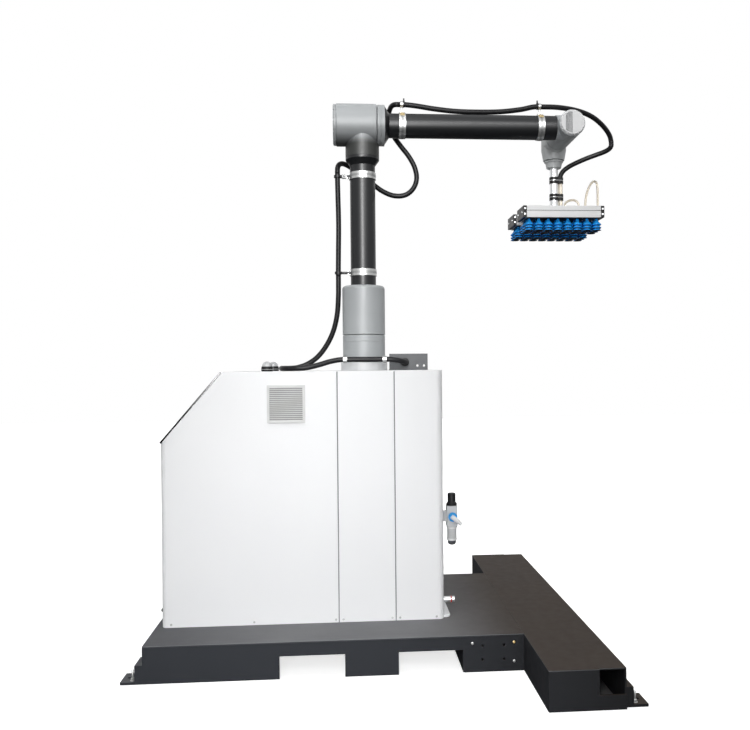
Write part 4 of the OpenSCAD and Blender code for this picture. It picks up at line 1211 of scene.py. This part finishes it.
# %% Light lines round the clamps
strap_low, strap_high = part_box("post_straps")
post_x, hose_x, tool_y = 0.895, 0.9255, 0.232
PROUD, LINE_HALF, ARC = 0.0003, 0.0007, 16
post_r = post_x - strap_low.x + PROUD
hose_side_r = strap_high.x - hose_x + PROUD
lean = math.acos((post_r - hose_side_r) / (hose_x - post_x))
outline = [
    (post_x + post_r * math.cos(t), tool_y + post_r * math.sin(t))
    for t in (lean + (2 * math.pi - 2 * lean) * k / ARC for k in range(ARC + 1))
] + [
    (hose_x + hose_side_r * math.cos(t), tool_y + hose_side_r * math.sin(t))
    for t in (2 * lean * k / ARC - lean for k in range(ARC + 1))
]
lines = bmesh.new()
for level in (1.940, 2.018):
    walls(lines, [
        [lines.verts.new((x, y, level + step)) for x, y in outline] for step in (-LINE_HALF, LINE_HALF)
    ])
trim("strap_lines", lines, bright_metal, "tool")


# %% [markdown]
# ## Light and floor
# The photograph is a studio cut-out on white. A small lamp shines from above, two strips light the arm, a
# wide lamp with a narrow beam lights the cabinet, another fills its back, and an even sky does the rest. Two
# cards show only in reflections, as a photographer's white boards do: they draw the soft bright line along
# each tube. What the camera and shiny surfaces see of the sky is plain white. The floor is white for the
# camera and fades into the sky with distance, but it throws little light back, so that undersides stay dark.
# It neither glows nor stays pale under the base's closed right side: painted shade, where the photograph is
# dark too.

# %% Lamps and sky
def soft_lamp(name, place, target, sides, power, spread=180, matte=True, gloss=True):
    """A rectangular lamp, seen by matte or glossy surfaces; a small spread keeps its light near its aim."""
    lamp = bpy.data.lights.new(name, "AREA")
    lamp.shape = "RECTANGLE"
    lamp.size, lamp.size_y = sides
    lamp.energy = power
    lamp.spread = math.radians(spread)
    stand = bpy.data.objects.new(name, lamp)
    stand.visible_diffuse = matte
    stand.visible_glossy = gloss
    aim = Vector(target) - Vector(place)
    stand.matrix_world = Matrix.Translation(place) @ aim.to_track_quat("-Z", "Y").to_matrix().to_4x4()
    scene.collection.objects.link(stand)


soft_lamp("key_lamp", (-0.6, -1.6, 5.0), (0.2, 0, 1.6), (0.8, 0.8), 48)
soft_lamp("column_strip", (-0.4, -4.2, 2.5), (-0.1, 0, 2.1), (0.25, 1.5), 38)
soft_lamp("arm_strip", (0.9, -4.4, 3.25), (0.6, 0, 2.2), (3.4, 0.25), 28)
soft_lamp("cabinet_lamp", (-0.3, -4.0, 0.7), (-0.25, 0, 0.32), (1.6, 1.0), 6.5, 50)
soft_lamp("back_lamp", (0.4, 4.6, 2.6), (-0.2, 0, 0.9), (2.0, 2.0), 60, gloss=False)
soft_lamp("column_card", (-0.45, -4.3, 2.5), (-0.1, 0, 2.1), (0.5, 1.7), 250, matte=False)
soft_lamp("arm_card", (0.9, -4.5, 4.3), (0.6, 0, 2.2), (3.4, 0.35), 140, matte=False)

sky = bpy.data.worlds.new("white_sky")
sky.use_nodes = True
scene.world = sky
sky_tree = sky.node_tree
ray = sky_tree.nodes.new("ShaderNodeLightPath")
shown = Wire(sky_tree, ray.outputs["Is Camera Ray"])
for ray_kind in ("Is Glossy Ray", "Is Transmission Ray"):
    shown = shown.math("MAXIMUM", shown, Wire(sky_tree, ray.outputs[ray_kind]))
SKY_LIGHT = 0.36
strength = SKY_LIGHT + (1 - SKY_LIGHT) * shown
feed(sky_tree.nodes["Background"], {"Color": (1, 1, 1, 1), "Strength": strength})
print("lamps", [lamp.name for lamp in bpy.data.lights])


# %% Floor
floor_paint = bpy.data.materials.new("pale_floor")
floor_paint.use_nodes = True
floor_tree = floor_paint.node_tree
floor_tree.nodes.clear()
camera_ray = Wire(floor_tree, floor_tree.nodes.new("ShaderNodeLightPath").outputs["Is Camera Ray"])
place = Wire(floor_tree, floor_tree.nodes.new("ShaderNodeTexCoord").outputs["Object"])
across = axis(place, 0)
depth = axis(place, 1)
aside = depth.math("ABSOLUTE", depth, 0.0)
distance = place.node("ShaderNodeVectorMath", {"operation": "LENGTH"}, {0: place}, out=1)
NEAR_GLOW, DARK_FLOOR, PALE_FLOOR = 0.72, 0.16, 0.86
fade = ramp(distance, 1.0, 2.4, NEAR_GLOW, 1.0, "SMOOTHSTEP")
bar_low, bar_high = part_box("crossbar_shell")
deck_half = -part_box("front_skirt")[0].y
POCKET_END = 0.36
# Painted shade: under the closed part of the base the floor has no glow and only the dark grey.
under_deck = (across > POCKET_END) * (1 - (across > bar_low.x)) * (1 - (aside > deck_half))
under_bar = (across > bar_low.x) * (1 - (across > bar_high.x)) * (1 - (aside > bar_high.y))
open_floor = camera_ray * (1 - under_deck - under_bar)
lit = fade * open_floor
grey = DARK_FLOOR + (PALE_FLOOR - DARK_FLOOR) * open_floor
matte = place.node("ShaderNodeBsdfDiffuse", None, {"Color": grey})
glow = place.node("ShaderNodeEmission", None, {"Strength": lit})
total = place.node("ShaderNodeAddShader", None, {0: matte, 1: glow})
feed(floor_tree.nodes.new("ShaderNodeOutputMaterial"), {"Surface": total})

floor_mesh = bpy.data.meshes.new("floor")
REACH = 14
corners = [(-REACH, -REACH, -MM), (REACH, -REACH, -MM), (REACH, REACH, -MM), (-REACH, REACH, -MM)]
floor_mesh.from_pydata(corners, [], [(0, 1, 2, 3)])
floor_mesh.materials.append(floor_paint)
floor = bpy.data.objects.new("floor", floor_mesh)
scene.collection.objects.link(floor)
scene.view_settings.view_transform = "Standard"
print("floor set")
